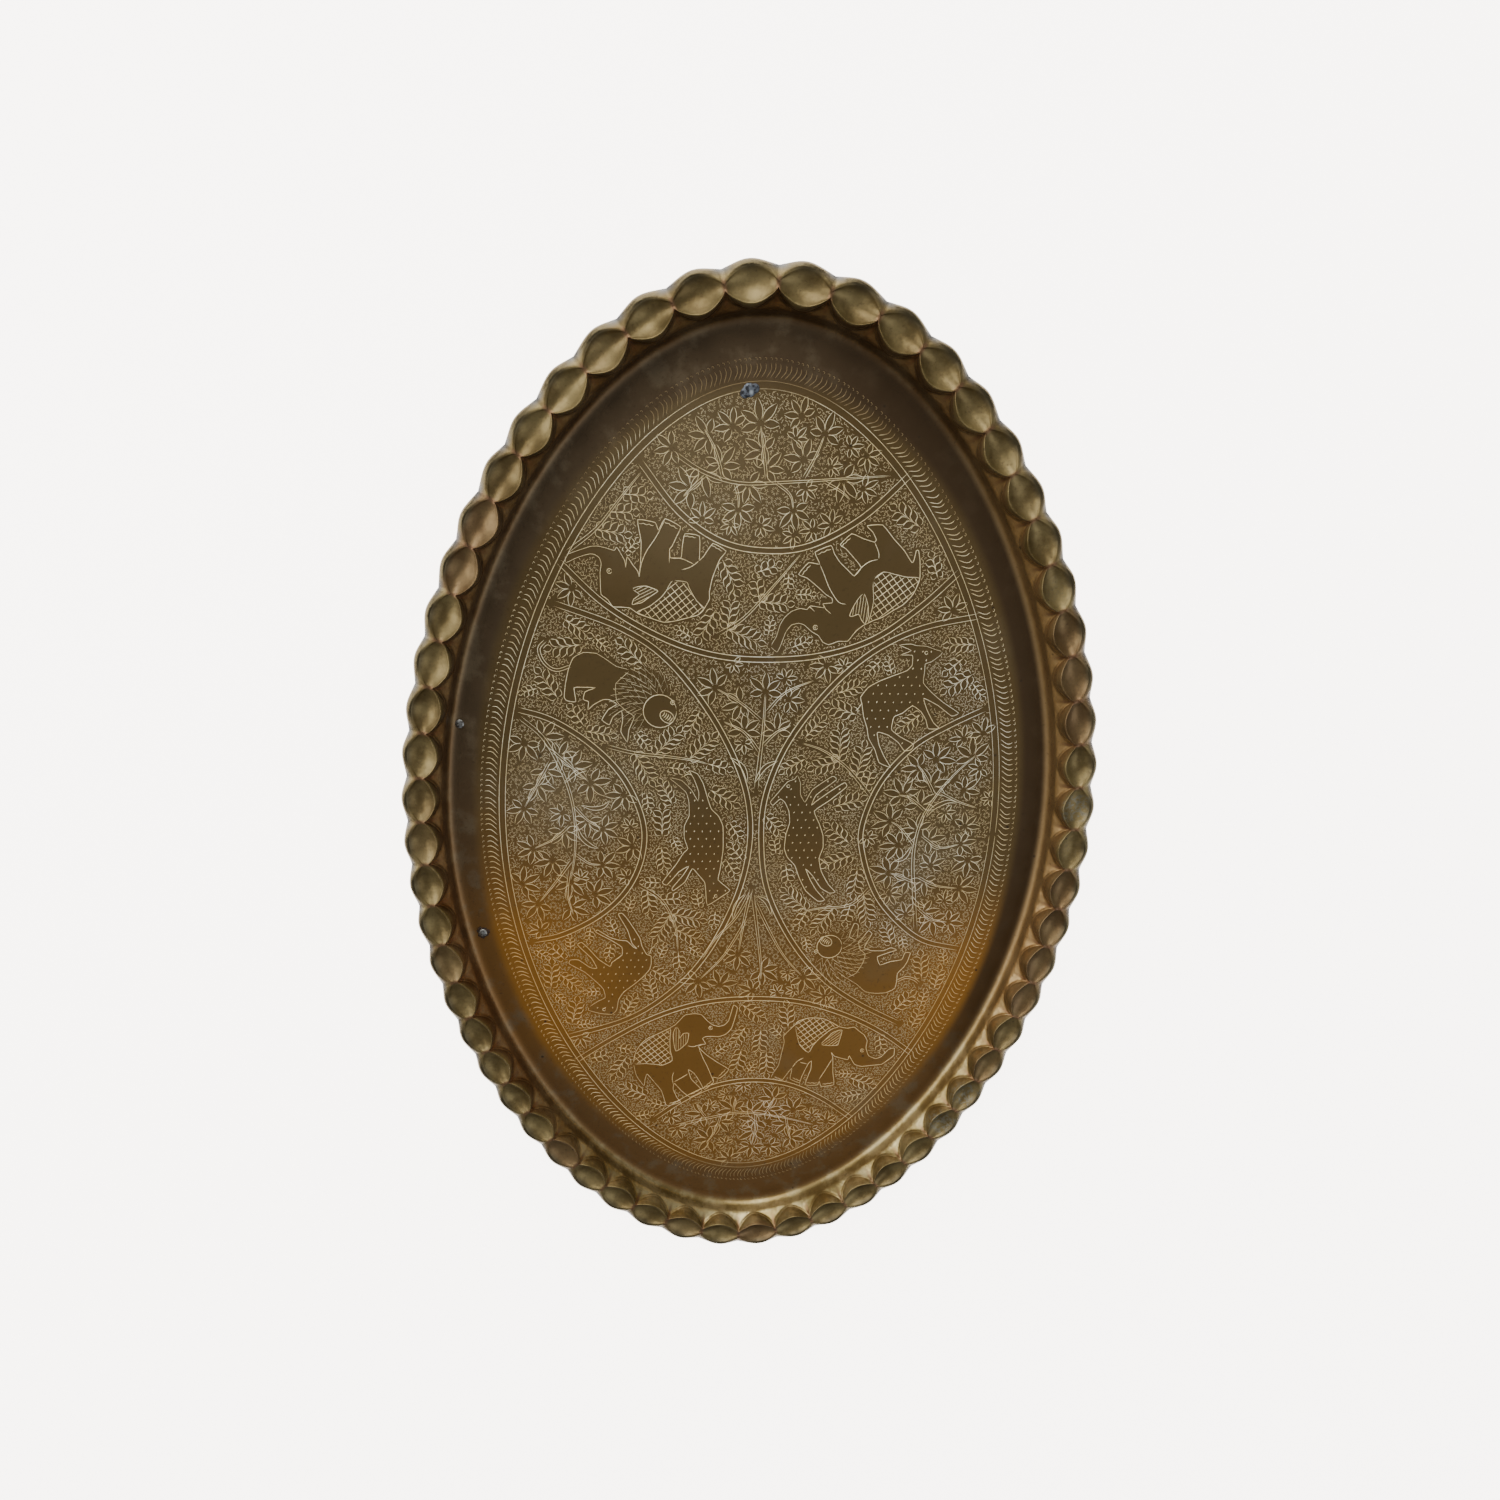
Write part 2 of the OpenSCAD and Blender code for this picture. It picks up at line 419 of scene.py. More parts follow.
class Finish:
    """A material whose nodes are made in the order of its recipe."""

    def __init__(self, name):
        self.material = bpy.data.materials.new(name)
        self.material.use_nodes = True
        self.tree = self.material.node_tree
        self.surface = self.tree.nodes["Principled BSDF"]
        self.place = self.add("ShaderNodeTexCoord").outputs["Object"]

    def add(self, kind, settings=None, **values):
        node = self.tree.nodes.new(kind)
        for key, value in (settings or {}).items():
            setattr(node, key, value)
        for key, value in values.items():
            self.put(node.inputs[key.replace("_", " ")], value)
        return node

    def put(self, socket, value):
        if isinstance(value, Number):
            value = value.socket
        if isinstance(value, bpy.types.NodeSocket):
            self.tree.links.new(value, socket)
        elif isinstance(value, tuple) and len(value) == 3 and socket.type == "RGBA":
            socket.default_value = (*value, 1)
        else:
            socket.default_value = value

    def number(self, socket):
        return Number(self.tree, socket)

    def axes(self):
        parts = self.add("ShaderNodeSeparateXYZ", Vector=self.place)
        return [self.number(parts.outputs[axis]) * (1 / MM) for axis in "XYZ"]

    def stored(self, name):
        node = self.add("ShaderNodeAttribute", {"attribute_name": name})
        return self.number(node.outputs["Fac"])

    def scaled_place(self, size, shift=(0, 0, 0)):
        """The place on the tray, counted in steps of size millimetres."""
        where = self.add("ShaderNodeMapping", Vector=self.place)
        where.inputs["Location"].default_value = shift
        where.inputs["Scale"].default_value = [1 / (size * MM)] * 3
        return where.outputs[0]

    def noise(self, size, detail=3.0, rough=0.55, shift=(0, 0, 0)):
        """Noise whose lumps are about size millimetres across."""
        node = self.add("ShaderNodeTexNoise", Vector=self.scaled_place(size, shift),
                        Scale=1.0, Detail=detail, Roughness=rough)
        return self.number(node.outputs["Fac"])

    def spots(self, size):
        """Distance from scattered points, size millimetres apart."""
        node = self.add("ShaderNodeTexVoronoi", Vector=self.scaled_place(size), Scale=1.0)
        return self.number(node.outputs["Distance"])

    def between(self, value, low, high, first=0.0, last=1.0):
        """Goes smoothly from first to last as value goes from low to high."""
        node = self.add("ShaderNodeMapRange", {"interpolation_type": "SMOOTHSTEP"}, Value=value)
        ends = {"From Min": low, "From Max": high, "To Min": first, "To Max": last}
        for name, number in ends.items():
            node.inputs[name].default_value = number
        return self.number(node.outputs["Result"])

    def patch(self, x, y, radius):
        """1 at a place on the tray and 0 beyond a radius from it, all in millimetres."""
        px, py, _ = self.axes()
        gone = ((px - x) ** 2 + (py - y) ** 2) ** 0.5
        return self.between(gone, radius * 0.1, radius, 1.0, 0.0)

    def mix(self, first, second, share):
        node = self.add("ShaderNodeMix", {"data_type": "RGBA"})
        self.put(node.inputs["Factor"], share)
        self.put(node.inputs[6], first)
        self.put(node.inputs[7], second)
        return node.outputs[2]

    def bump(self, height, distance, strength=1.0, normal=None):
        node = self.add("ShaderNodeBump", Strength=strength, Distance=distance * MM)
        self.put(node.inputs["Height"], height)
        if normal is not None:
            self.put(node.inputs["Normal"], normal)
        return node.outputs[0]

    def finish(self, **values):
        for key, value in values.items():
            self.put(self.surface.inputs[key.replace("_", " ")], value)
        return self.material


def oval_share(made):
    """0 at the floor's middle and 1 at the middle of the bowls."""
    x, y, _ = made.axes()
    return ((x / RING_A) ** 2 + (y / RING_B) ** 2) ** 0.5


def floor_warmth(made):
    """Where the floor has gone orange brown: its front half, most of all near both sides."""
    x, y, _ = made.axes()
    warm = 0.62 * made.between(y + x * 0.2, 40, -130)
    return (warm + 0.6 * made.patch(-140, -90, 90) + 0.5 * made.patch(145, -95, 80)).clip()


def aged_brass():
    made = Finish("aged_brass")
    inside = oval_share(made)
    out = made.stored("out")
    full = made.stored("fullness")
    tone = made.stored("tone")

    cloud = made.noise(70, 4)
    blotch = made.noise(16, 5, 0.6, (3, 1, 0))
    grain = made.noise(2.2, 4, 0.65, (7, 2, 0))
    fine = made.noise(0.7, 2, 0.6, (1, 5, 0))
    warmth = floor_warmth(made)

    # the floor's field: dark khaki brown, warmer at the front
    field = made.mix((0.102, 0.066, 0.023), (0.270, 0.120, 0.017), warmth)
    field = made.mix(field, (0.165, 0.128, 0.070), made.between(cloud, 0.5, 0.75) * 0.45)
    pale = made.patch(-30, 190, 80) + made.patch(-105, 20, 50)
    field = made.mix(field, (0.210, 0.160, 0.085), pale.clip() * 0.45)
    # the plain margin outside the engraving is darker
    margin = made.mix((0.088, 0.058, 0.029), (0.165, 0.080, 0.020), warmth)
    margin = made.mix(margin, (0.145, 0.108, 0.062), made.between(blotch, 0.48, 0.66) * 0.65)
    x, y, _ = made.axes()
    margin = made.mix(margin, (0.048, 0.027, 0.010), made.between(x + 0.25 * y, 60, 125) * 0.85)
    floor = made.mix(field, margin, made.between(inside, 0.842, 0.875))
    # the wall is tan, made paler at the front and on the right side by painted light; the bowls olive gold;
    # the roll outside them brown, with a painted grey-blue sky reflection where two bowls meet
    wall = made.mix((0.165, 0.098, 0.045), (0.220, 0.150, 0.078), made.between(blotch, 0.4, 0.62))
    # painted light: the wall is made paler and warmer towards the right side, as if lit there
    wall = made.mix(wall, (0.400, 0.260, 0.115), made.between(x, 70, 150) * 0.85)
    # painted light: a paler, patchy gold that the wall takes on towards the front, where it faces up into
    # the light
    lit_front_wall = made.mix((0.225, 0.170, 0.066), (0.390, 0.320, 0.160), made.between(blotch, 0.42, 0.6))
    wall = made.mix(wall, lit_front_wall, made.between(y - 0.3 * x, -90, -230))
    bowl = made.mix((0.112, 0.078, 0.027), (0.198, 0.150, 0.062), made.between(blotch, 0.36, 0.64))
    bowl = made.mix(bowl, (0.150, 0.085, 0.040), made.between(tone, 0.6, 1.0) * 0.55)
    # painted glint: pale grey patches in the middle of some bowls on the right side, standing in for
    # reflected sky
    painted_glint = made.between(tone, 0.2, 0.1) * made.between(grain, 0.45, 0.6) * made.between(x, 60, 120)
    bowl = made.mix(bowl, (0.200, 0.195, 0.150), painted_glint * made.between(full, 0.5, 0.8) * 0.6)
    # painted reflection: the roll turns grey-blue where two bowls meet, as if it reflected the sky
    roll = made.mix((0.085, 0.068, 0.036), (0.085, 0.090, 0.096), made.between(full, 0.75, 0.15))
    colour = made.mix(floor, wall, made.between(out, -14.5, -9.5))
    colour = made.mix(colour, bowl, 1 - made.stored("before_lip"))
    colour = made.mix(colour, roll, made.between(out, 4.5, 8.5))
    tips = made.between(full, 0.34, 0.04) * made.between(out, -9, -4) * made.between(out, 5, 2)
    colour = made.mix(colour, (0.150, 0.075, 0.038), tips * 0.75)
    dirt = made.between(grain, 0.56, 0.74) * 0.4
    colour = made.mix(colour, (0.050, 0.030, 0.014), dirt)
    pits = made.between(made.spots(9), 0.13, 0.05) * made.between(blotch, 0.5, 0.62)
    colour = made.mix(colour, (0.030, 0.018, 0.010), pits * 0.8)

    bowls = (1 - made.stored("before_lip")) * made.between(out, 8, 7)
    shine = made.between(out, -14, -10) * (1 - bowls)
    rough = 0.34 + 0.20 * blotch + 0.12 * grain - 0.14 * shine - 0.05 * bowls
    height = made.noise(26, 2, 0.5, (2, 2, 0))
    dent = made.noise(7, 2, 0.5, (6, 2, 0)) * made.between(out, -12, -9)
    normal = made.bump(height, 0.9, 0.35)
    normal = made.bump(dent, 0.6, 0.8, normal)
    normal = made.bump(grain + 0.5 * fine, 0.05, 0.5, normal)
    return made.finish(Base_Color=colour, Metallic=0.72 + 0.2 * shine, Roughness=rough, Normal=normal)


def line_polish():
    made = Finish("line_polish")
    inside = oval_share(made)
    blotch = made.noise(26, 4, 0.6, (5, 4, 0))
    grain = made.noise(1.6, 3, 0.6, (2, 8, 0))
    cream = made.mix((0.82, 0.67, 0.37), (0.95, 0.85, 0.57), made.between(blotch, 0.42, 0.62))
    white = made.patch(112, 62, 62) + made.patch(4, 92, 36)
    white = white + made.patch(-112, 22, 50) + made.patch(95, -40, 60)
    white = white + made.patch(0, 8, 18) + made.patch(20, -196, 50)
    dusty = (white * made.between(blotch, 0.34, 0.58)).clip() * 0.6
    cream = made.mix(cream, (0.90, 0.89, 0.80), dusty)
    warm = made.mix(cream, (0.80, 0.46, 0.145), floor_warmth(made) * 0.7)
    warm = made.mix(warm, (0.38, 0.29, 0.15), made.stored("small") * 0.65)
    faint = made.between(inside, 0.835, 0.85)
    colour = made.mix(warm, (0.27, 0.185, 0.08), faint * 0.95)
    colour = made.mix(colour, (0.26, 0.17, 0.075), made.between(grain, 0.52, 0.72) * 0.45)
    return made.finish(Base_Color=colour, Metallic=0.3, Roughness=0.45 + 0.2 * grain)


def rivet_metal():
    made = Finish("rivet_metal")
    grain = made.noise(0.9, 3, 0.6)
    colour = made.mix((0.36, 0.36, 0.34), (0.12, 0.11, 0.10), made.between(grain, 0.42, 0.6))
    return made.finish(Base_Color=colour, Metallic=0.95, Roughness=0.25 + 0.3 * grain)


def rivet_corrosion():
    made = Finish("rivet_corrosion")
    grain = made.noise(1.1, 4, 0.65)
    colour = made.mix((0.020, 0.010, 0.006), (0.075, 0.035, 0.015), made.between(grain, 0.45, 0.7))
    return made.finish(Base_Color=colour, Metallic=0.2, Roughness=0.7 + 0.2 * grain,
                       Normal=made.bump(grain, 0.2))


def solder():
    made = Finish("solder")
    grain = made.noise(1.6, 4, 0.6)
    colour = made.mix((0.14, 0.155, 0.18), (0.03, 0.03, 0.034), made.between(grain, 0.42, 0.6))
    # painted highlight: a small pale grey-blue spot on the top of the lump
    colour = made.mix(colour, (0.42, 0.46, 0.50), made.patch(-7, 228, 1.6))
    return made.finish(Base_Color=colour, Metallic=0.8, Roughness=0.35 + 0.3 * grain,
                       Normal=made.bump(grain, 0.2))


def pale_floor():
    made = Finish("pale_floor")
    cloud = made.noise(400, 2)
    colour = made.mix((0.80, 0.79, 0.775), (0.83, 0.82, 0.81), cloud)
    return made.finish(Base_Color=colour, Roughness=0.9,
                       Emission_Color=(1.0, 0.93, 0.87), Emission_Strength=6.5)


def dress(piece, material, node=None):
    piece.data.materials.clear()
    piece.data.materials.append(material)
    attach(piece, "root")
    if node:
        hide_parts(node)


# ---------------------------------------------------------------- the engraver's strokes

class Engraving:
    """Strokes cut in the floor, filled with dried polish: each is a closed strip with a ridge
    along it and a point at each end, so thousands of them are written as mesh data at once."""

    def __init__(self, name, small=0.0):
        self.name = name
        self.small = small
        self.groups = {}

    def line(self, points, width):
        points = np.asarray(points, float)
        self.groups.setdefault(len(points), []).append((points, width))

    def build(self):
        corners, faces, start = [], [], 0
        for size, strokes in sorted(self.groups.items()):
            path = np.array([s[0] for s in strokes])
            width = np.array([s[1] for s in strokes])
            made, quads, ends = strip_mesh(path, width, LINE_BASE, SHEET + LINE_H)
            corners.append(made)
            faces += (quads + start).tolist() + (ends + start).tolist()
            start += len(made)
        mesh = bpy.data.meshes.new(self.name)
        mesh.from_pydata((np.concatenate(corners) * MM).tolist(), [], faces)
        mesh.update()
        piece = bpy.data.objects.new(self.name, mesh)
        bpy.context.scene.collection.objects.link(piece)
        mesh.polygons.foreach_set("use_smooth", np.ones(len(mesh.polygons), bool))
        store = mesh.attributes.new("small", "FLOAT", "POINT")
        store.data.foreach_set("value", np.full(len(mesh.vertices), self.small, np.float32))
        return piece


def strip_mesh(path, width, low, high):
    """Corners, four-sided and three-sided faces of strokes that all have as many points."""
    count, size, _ = path.shape
    along = np.gradient(path, axis=1)
    along /= np.maximum(np.linalg.norm(along, axis=-1, keepdims=True), 1e-9)
    side = np.stack([-along[..., 1], along[..., 0]], -1)
    taper = np.minimum(1, 0.55 + 0.45 * np.sin(np.linspace(0, math.pi, size)) * 1.4)
    half = width[:, None] / 2 * taper[None, :]
    left, right = path + side * half[..., None], path - side * half[..., None]

    def at(points, z):
        return np.concatenate([points, np.full((*points.shape[:-1], 1), z)], -1)

    ridge = np.stack([at(left, low), at(path, high), at(right, low)], 2)
    middle = ridge[:, 1:-1].reshape(count, -1, 3)
    corners = np.concatenate([at(path[:, :1], low), middle, at(path[:, -1:], low)], 1)
    per = corners.shape[1]
    quads, ends = [], []
    for k in range(size - 3):
        l, c, r = 1 + 3 * k, 2 + 3 * k, 3 + 3 * k
        quads += [(l, c, c + 3, l + 3), (r, r + 3, c + 3, c), (l, l + 3, r + 3, r)]
    last = per - 1
    ends += [(0, 2, 1), (0, 3, 2), (0, 1, 3)]
    ends += [(last - 3, last - 2, last), (last - 1, last, last - 2), (last - 3, last, last - 1)]
    shift = (np.arange(count) * per)[:, None, None]
    quads = (np.array(quads).reshape(1, -1, 4) + shift).reshape(-1, 4)
    ends = (np.array(ends).reshape(1, -1, 3) + shift).reshape(-1, 3)
    return corners.reshape(-1, 3), quads, ends


def curve(points, closed=False, per=4, slack=0.5):
    """A line through given points, straight between them with no slack and round with 0.5."""
    p = np.asarray(points, float)
    if closed:
        p = np.concatenate([p[-1:], p, p[:2]])
    else:
        p = np.concatenate([2 * p[:1] - p[1:2], p, 2 * p[-1:] - p[-2:-1]])
    made = []
    for a, b, c, d in zip(p[:-3], p[1:-2], p[2:-1], p[3:]):
        leave, arrive = slack * (c - a), slack * (d - b)
        for s in np.arange(per) / per:
            made.append(b + s * leave + s ** 2 * (3 * (c - b) - 2 * leave - arrive)
                        + s ** 3 * (2 * (b - c) + leave + arrive))
    made.append(p[-2])
    return np.array(made)


def beside(points, gap):
    """The line that runs a gap to the left of another."""
    p = np.asarray(points, float)
    along = np.gradient(p, axis=0)
    along /= np.maximum(np.linalg.norm(along, axis=1, keepdims=True), 1e-9)
    return p + np.stack([-along[:, 1], along[:, 0]], -1) * np.asarray(gap).reshape(-1, 1)


def turned(points, angle, spot=(0, 0), size=1.0):
    """Points turned by an angle in degrees, scaled and moved to a spot."""
    a = math.radians(angle)
    p = np.asarray(points, float) * size
    return np.stack([p[:, 0] * math.cos(a) - p[:, 1] * math.sin(a),
                     p[:, 0] * math.sin(a) + p[:, 1] * math.cos(a)], -1) + spot


# ---------------------------------------------------------------- what the ground has to leave free

CELL = 0.5
FIELD_X, FIELD_Y = 150, 240
taken = np.zeros((int(2 * FIELD_Y / CELL) + 1, int(2 * FIELD_X / CELL) + 1), bool)


def take_outside():
    """Keeps the ground inside the field."""
    edge = plan_point(np.linspace(0, PERIMETER, 400), -FIELD_IN)
    take_shape(edge)
    taken[:] = ~taken


def clear(points):
    """Which points of the field are free."""
    i = np.rint((points[..., 0] + FIELD_X) / CELL).astype(int)
    j = np.rint((points[..., 1] + FIELD_Y) / CELL).astype(int)
    return ~taken[np.clip(j, 0, taken.shape[0] - 1), np.clip(i, 0, taken.shape[1] - 1)]


def cells(low, high):
    """The cells of a box, and their middles."""
    i0, i1 = (max(0, int((low[0] + FIELD_X) / CELL)), int((high[0] + FIELD_X) / CELL) + 2)
    j0, j1 = (max(0, int((low[1] + FIELD_Y) / CELL)), int((high[1] + FIELD_Y) / CELL) + 2)
    part = taken[j0:j1, i0:i1]
    y, x = np.mgrid[j0:j0 + part.shape[0], i0:i0 + part.shape[1]] * CELL
    return part, x - FIELD_X, y - FIELD_Y


def take_shape(outline):
    """Keeps the ground out of a closed outline."""
    p = np.asarray(outline, float)
    part, x, y = cells(p.min(0), p.max(0))
    inside = np.zeros(part.shape, bool)
    for (x0, y0), (x1, y1) in zip(p, np.roll(p, -1, 0)):
        if y0 != y1:
            inside ^= ((y0 > y) != (y1 > y)) & (x < (x1 - x0) * (y - y0) / (y1 - y0) + x0)
    part |= inside


def take_line(points, reach):
    """Keeps the ground a reach away from a line."""
    p = np.asarray(points, float)
    for a, b in zip(p[:-1], p[1:]):
        part, x, y = cells(np.minimum(a, b) - reach, np.maximum(a, b) + reach)
        d = b - a
        s = np.clip(((x - a[0]) * d[0] + (y - a[1]) * d[1]) / max(d @ d, 1e-9), 0, 1)
        part |= (x - a[0] - s * d[0]) ** 2 + (y - a[1] - s * d[1]) ** 2 < reach ** 2


def disc(reach):
    a = np.arange(0, TURN, TURN / 10)
    ring = np.stack([np.cos(a), np.sin(a)], -1)
    return np.concatenate([[(0, 0)], ring * reach * 0.5, ring * reach])


def leaf_room(spot, angle, length, width):
    """Whether a leaf's whole shape is free."""
    s = np.linspace(0.12, 1.02, 8)
    half = width * 0.55 * np.sin(math.pi * np.clip(s * 0.93, 0, 1)) ** 0.8
    shape = np.concatenate([np.stack([s * length, k * half], -1) for k in (-1, -0.5, 0, 0.5, 1)])
    return clear(turned(shape, angle, spot)).all()


# ---------------------------------------------------------------- rings, bands and arcs

def engrave_rings(lines):
    steps = np.linspace(0, PERIMETER, 541)
    for inset in BAND_IN:
        lines.line(plan_point(steps, -inset), RING_LINE)
    hooks = 400
    for k in range(hooks):
        run = (k + 0.3 * chance.uniform()) * PERIMETER / hooks
        swing = 1.3 + 0.5 * chance.uniform()
        share = np.linspace(0, 1, 7)
        out = -blend(HOOKS_IN[0] + 0.7 * chance.uniform(), HOOKS_IN[1], share)
        lean = 2.2 * share - swing * np.sin(share * math.pi * 1.25)
        lines.line(plan_point(run + lean, out), HOOK_LINE)
        a = np.linspace(0.3, 4.6, 5)
        lines.line(plan_point(run + 0.9 * np.cos(a), -BEADS_IN + 0.6 * np.sin(a)), BEAD_LINE)


ARCS = {
    "back_small": [(-62, 197), (-42, 173), (-20, 159), (3, 155), (26, 158), (52, 172), (76, 194)],
    "back_big": [(-104, 149), (-80, 127), (-52, 111), (-25, 102), (3, 99.5), (34, 102), (62, 111),
                 (86, 128), (106, 147)],
    "left_big": [(-108, 128), (-72, 115), (-47, 98), (-24, 69), (-8, 38), (-1.5, 12), (-2, -14),
                 (-9, -42), (-24, -74), (-43, -98), (-72, -119), (-112, -132)],
    "right_big": [(120, 124), (88, 117), (62, 104), (40, 84), (19, 55), (7.5, 25), (5.5, -2),
                  (10, -34), (25, -66), (45, -92), (68, -110), (97, -126)],
    "left_small": [(-129, 72), (-110, 66), (-89, 52), (-72, 33), (-62, 8), (-63, -14), (-72, -34),
                   (-88, -50), (-110, -62), (-128, -66)],
    "right_small": [(128, 74), (108, 64), (89, 52), (72, 31), (63.5, 6), (65, -12), (74, -36),
                    (88, -54), (106, -68), (130, -74)],
    "front_big": [(-107, -150), (-82, -133), (-55, -118), (-27, -109), (3, -106.5), (34, -109.5),
                  (62, -119), (86, -132), (108, -149)],
    "front_small": [(-58, -194), (-38, -179), (-18, -169), (5, -165.5), (28, -169), (50, -180), (72, -197)],
}


def engrave_arcs(lines):
    for points in ARCS.values():
        run = curve(points, per=6)
        for gap in (-1.4, 1.4):
            lines.line(beside(run, gap), ARC_LINE)
        take_line(run, 1.9)


# ---------------------------------------------------------------- leaves and stems

def lens(length, width, bend=0.0):
    """Both edges of a pointed leaf that starts at the origin and points along +X."""
    s = np.linspace(0, 1, 6)
    x = s * length
    spine = bend * length * s * s
    belly = width / 2 * np.sin(math.pi * s ** 0.85)
    return np.stack([x, spine + belly], -1), np.stack([x, spine - belly], -1), np.stack([x, spine], -1)


def leaf_edges(lines, up, down, width):
    """Cuts both edges of a leaf and keeps the ground out of it."""
    lines.line(up, width)
    lines.line(down, width)
    take_shape(np.concatenate([up, down[::-1]]))


def palmate(lines, spot, angle, size):
    """A hand of five pointed lobes that stand a little apart at its root."""
    for share in (-0.5, -0.25, 0, 0.25, 0.5):
        length = size * (1 - share * share) * chance.uniform(0.86, 1.06)
        up, down, spine = lens(length * 0.9, size * 0.3, 0.16 * share)
        turn = angle + 190 * share
        root = turned([(size * 0.1, 0)], turn, spot)[0]
        up, down, spine = (turned(e, turn, root) for e in (up, down, spine))
        leaf_edges(lines, up, down, LOBE_LINE)
        take_line(spine, 1.0)


def feather(lines, spot, angle, length, width):
    """A leaf with a midrib, plump lobes on both sides of it and one at its tip."""
    lobes = max(3, round(length / 3.9))
    for k in range(lobes + 1):
        share = (k + 0.15) / (lobes + 0.6)
        far = width / 2 * (0.62 + 0.6 * math.sin(math.pi * (0.14 + 0.78 * share)))
        for hand in ((1, -1) if k < lobes else (0,)):
            root = turned([(share * length, 0.3 * hand)], angle, spot)[0]
            lobe = lens(far, length / lobes * 0.88, 0.1)
            up, down, _ = (turned(edge, angle + 50 * hand, root) for edge in lobe)
            leaf_edges(lines, up, down, PLUME_LINE)
    midrib = [(s * length, 0) for s in (-0.15, 0.1, 0.35, 0.6, 0.84)]
    lines.line(turned(midrib, angle, spot), 0.3)


def stem(lines, points, width, leaf):
    """Two lines that close to a point, with a leaf at the tip and leaves on both sides."""
    run = curve(points, per=5)
    share = np.linspace(0, 1, len(run))
    gap = width / 2 * (1 - 0.75 * share)
    lines.line(beside(run, gap), STEM_LINE)
    lines.line(beside(run, -gap), STEM_LINE)
    take_line(run, width * 0.62)
    along = np.gradient(run, axis=0)
    turn = np.degrees(np.arctan2(along[:, 1], along[:, 0]))
    leaf(run[-1], turn[-1])
    for k in range(2, len(run) - 1, 3):
        for hand in (1, -1):
            leaf(run[k], turn[k] + 52 * hand)


def crescent(lines, points):
    """A curled leaf that is thick in its middle."""
    run = curve(points)
    gap = 1.1 * np.sin(np.linspace(0, math.pi, len(run)))
    for hand in (1, -1):
        lines.line(beside(run, gap * hand), 0.4)
    take_shape(np.concatenate([beside(run, gap), beside(run, -gap)[::-1]]))


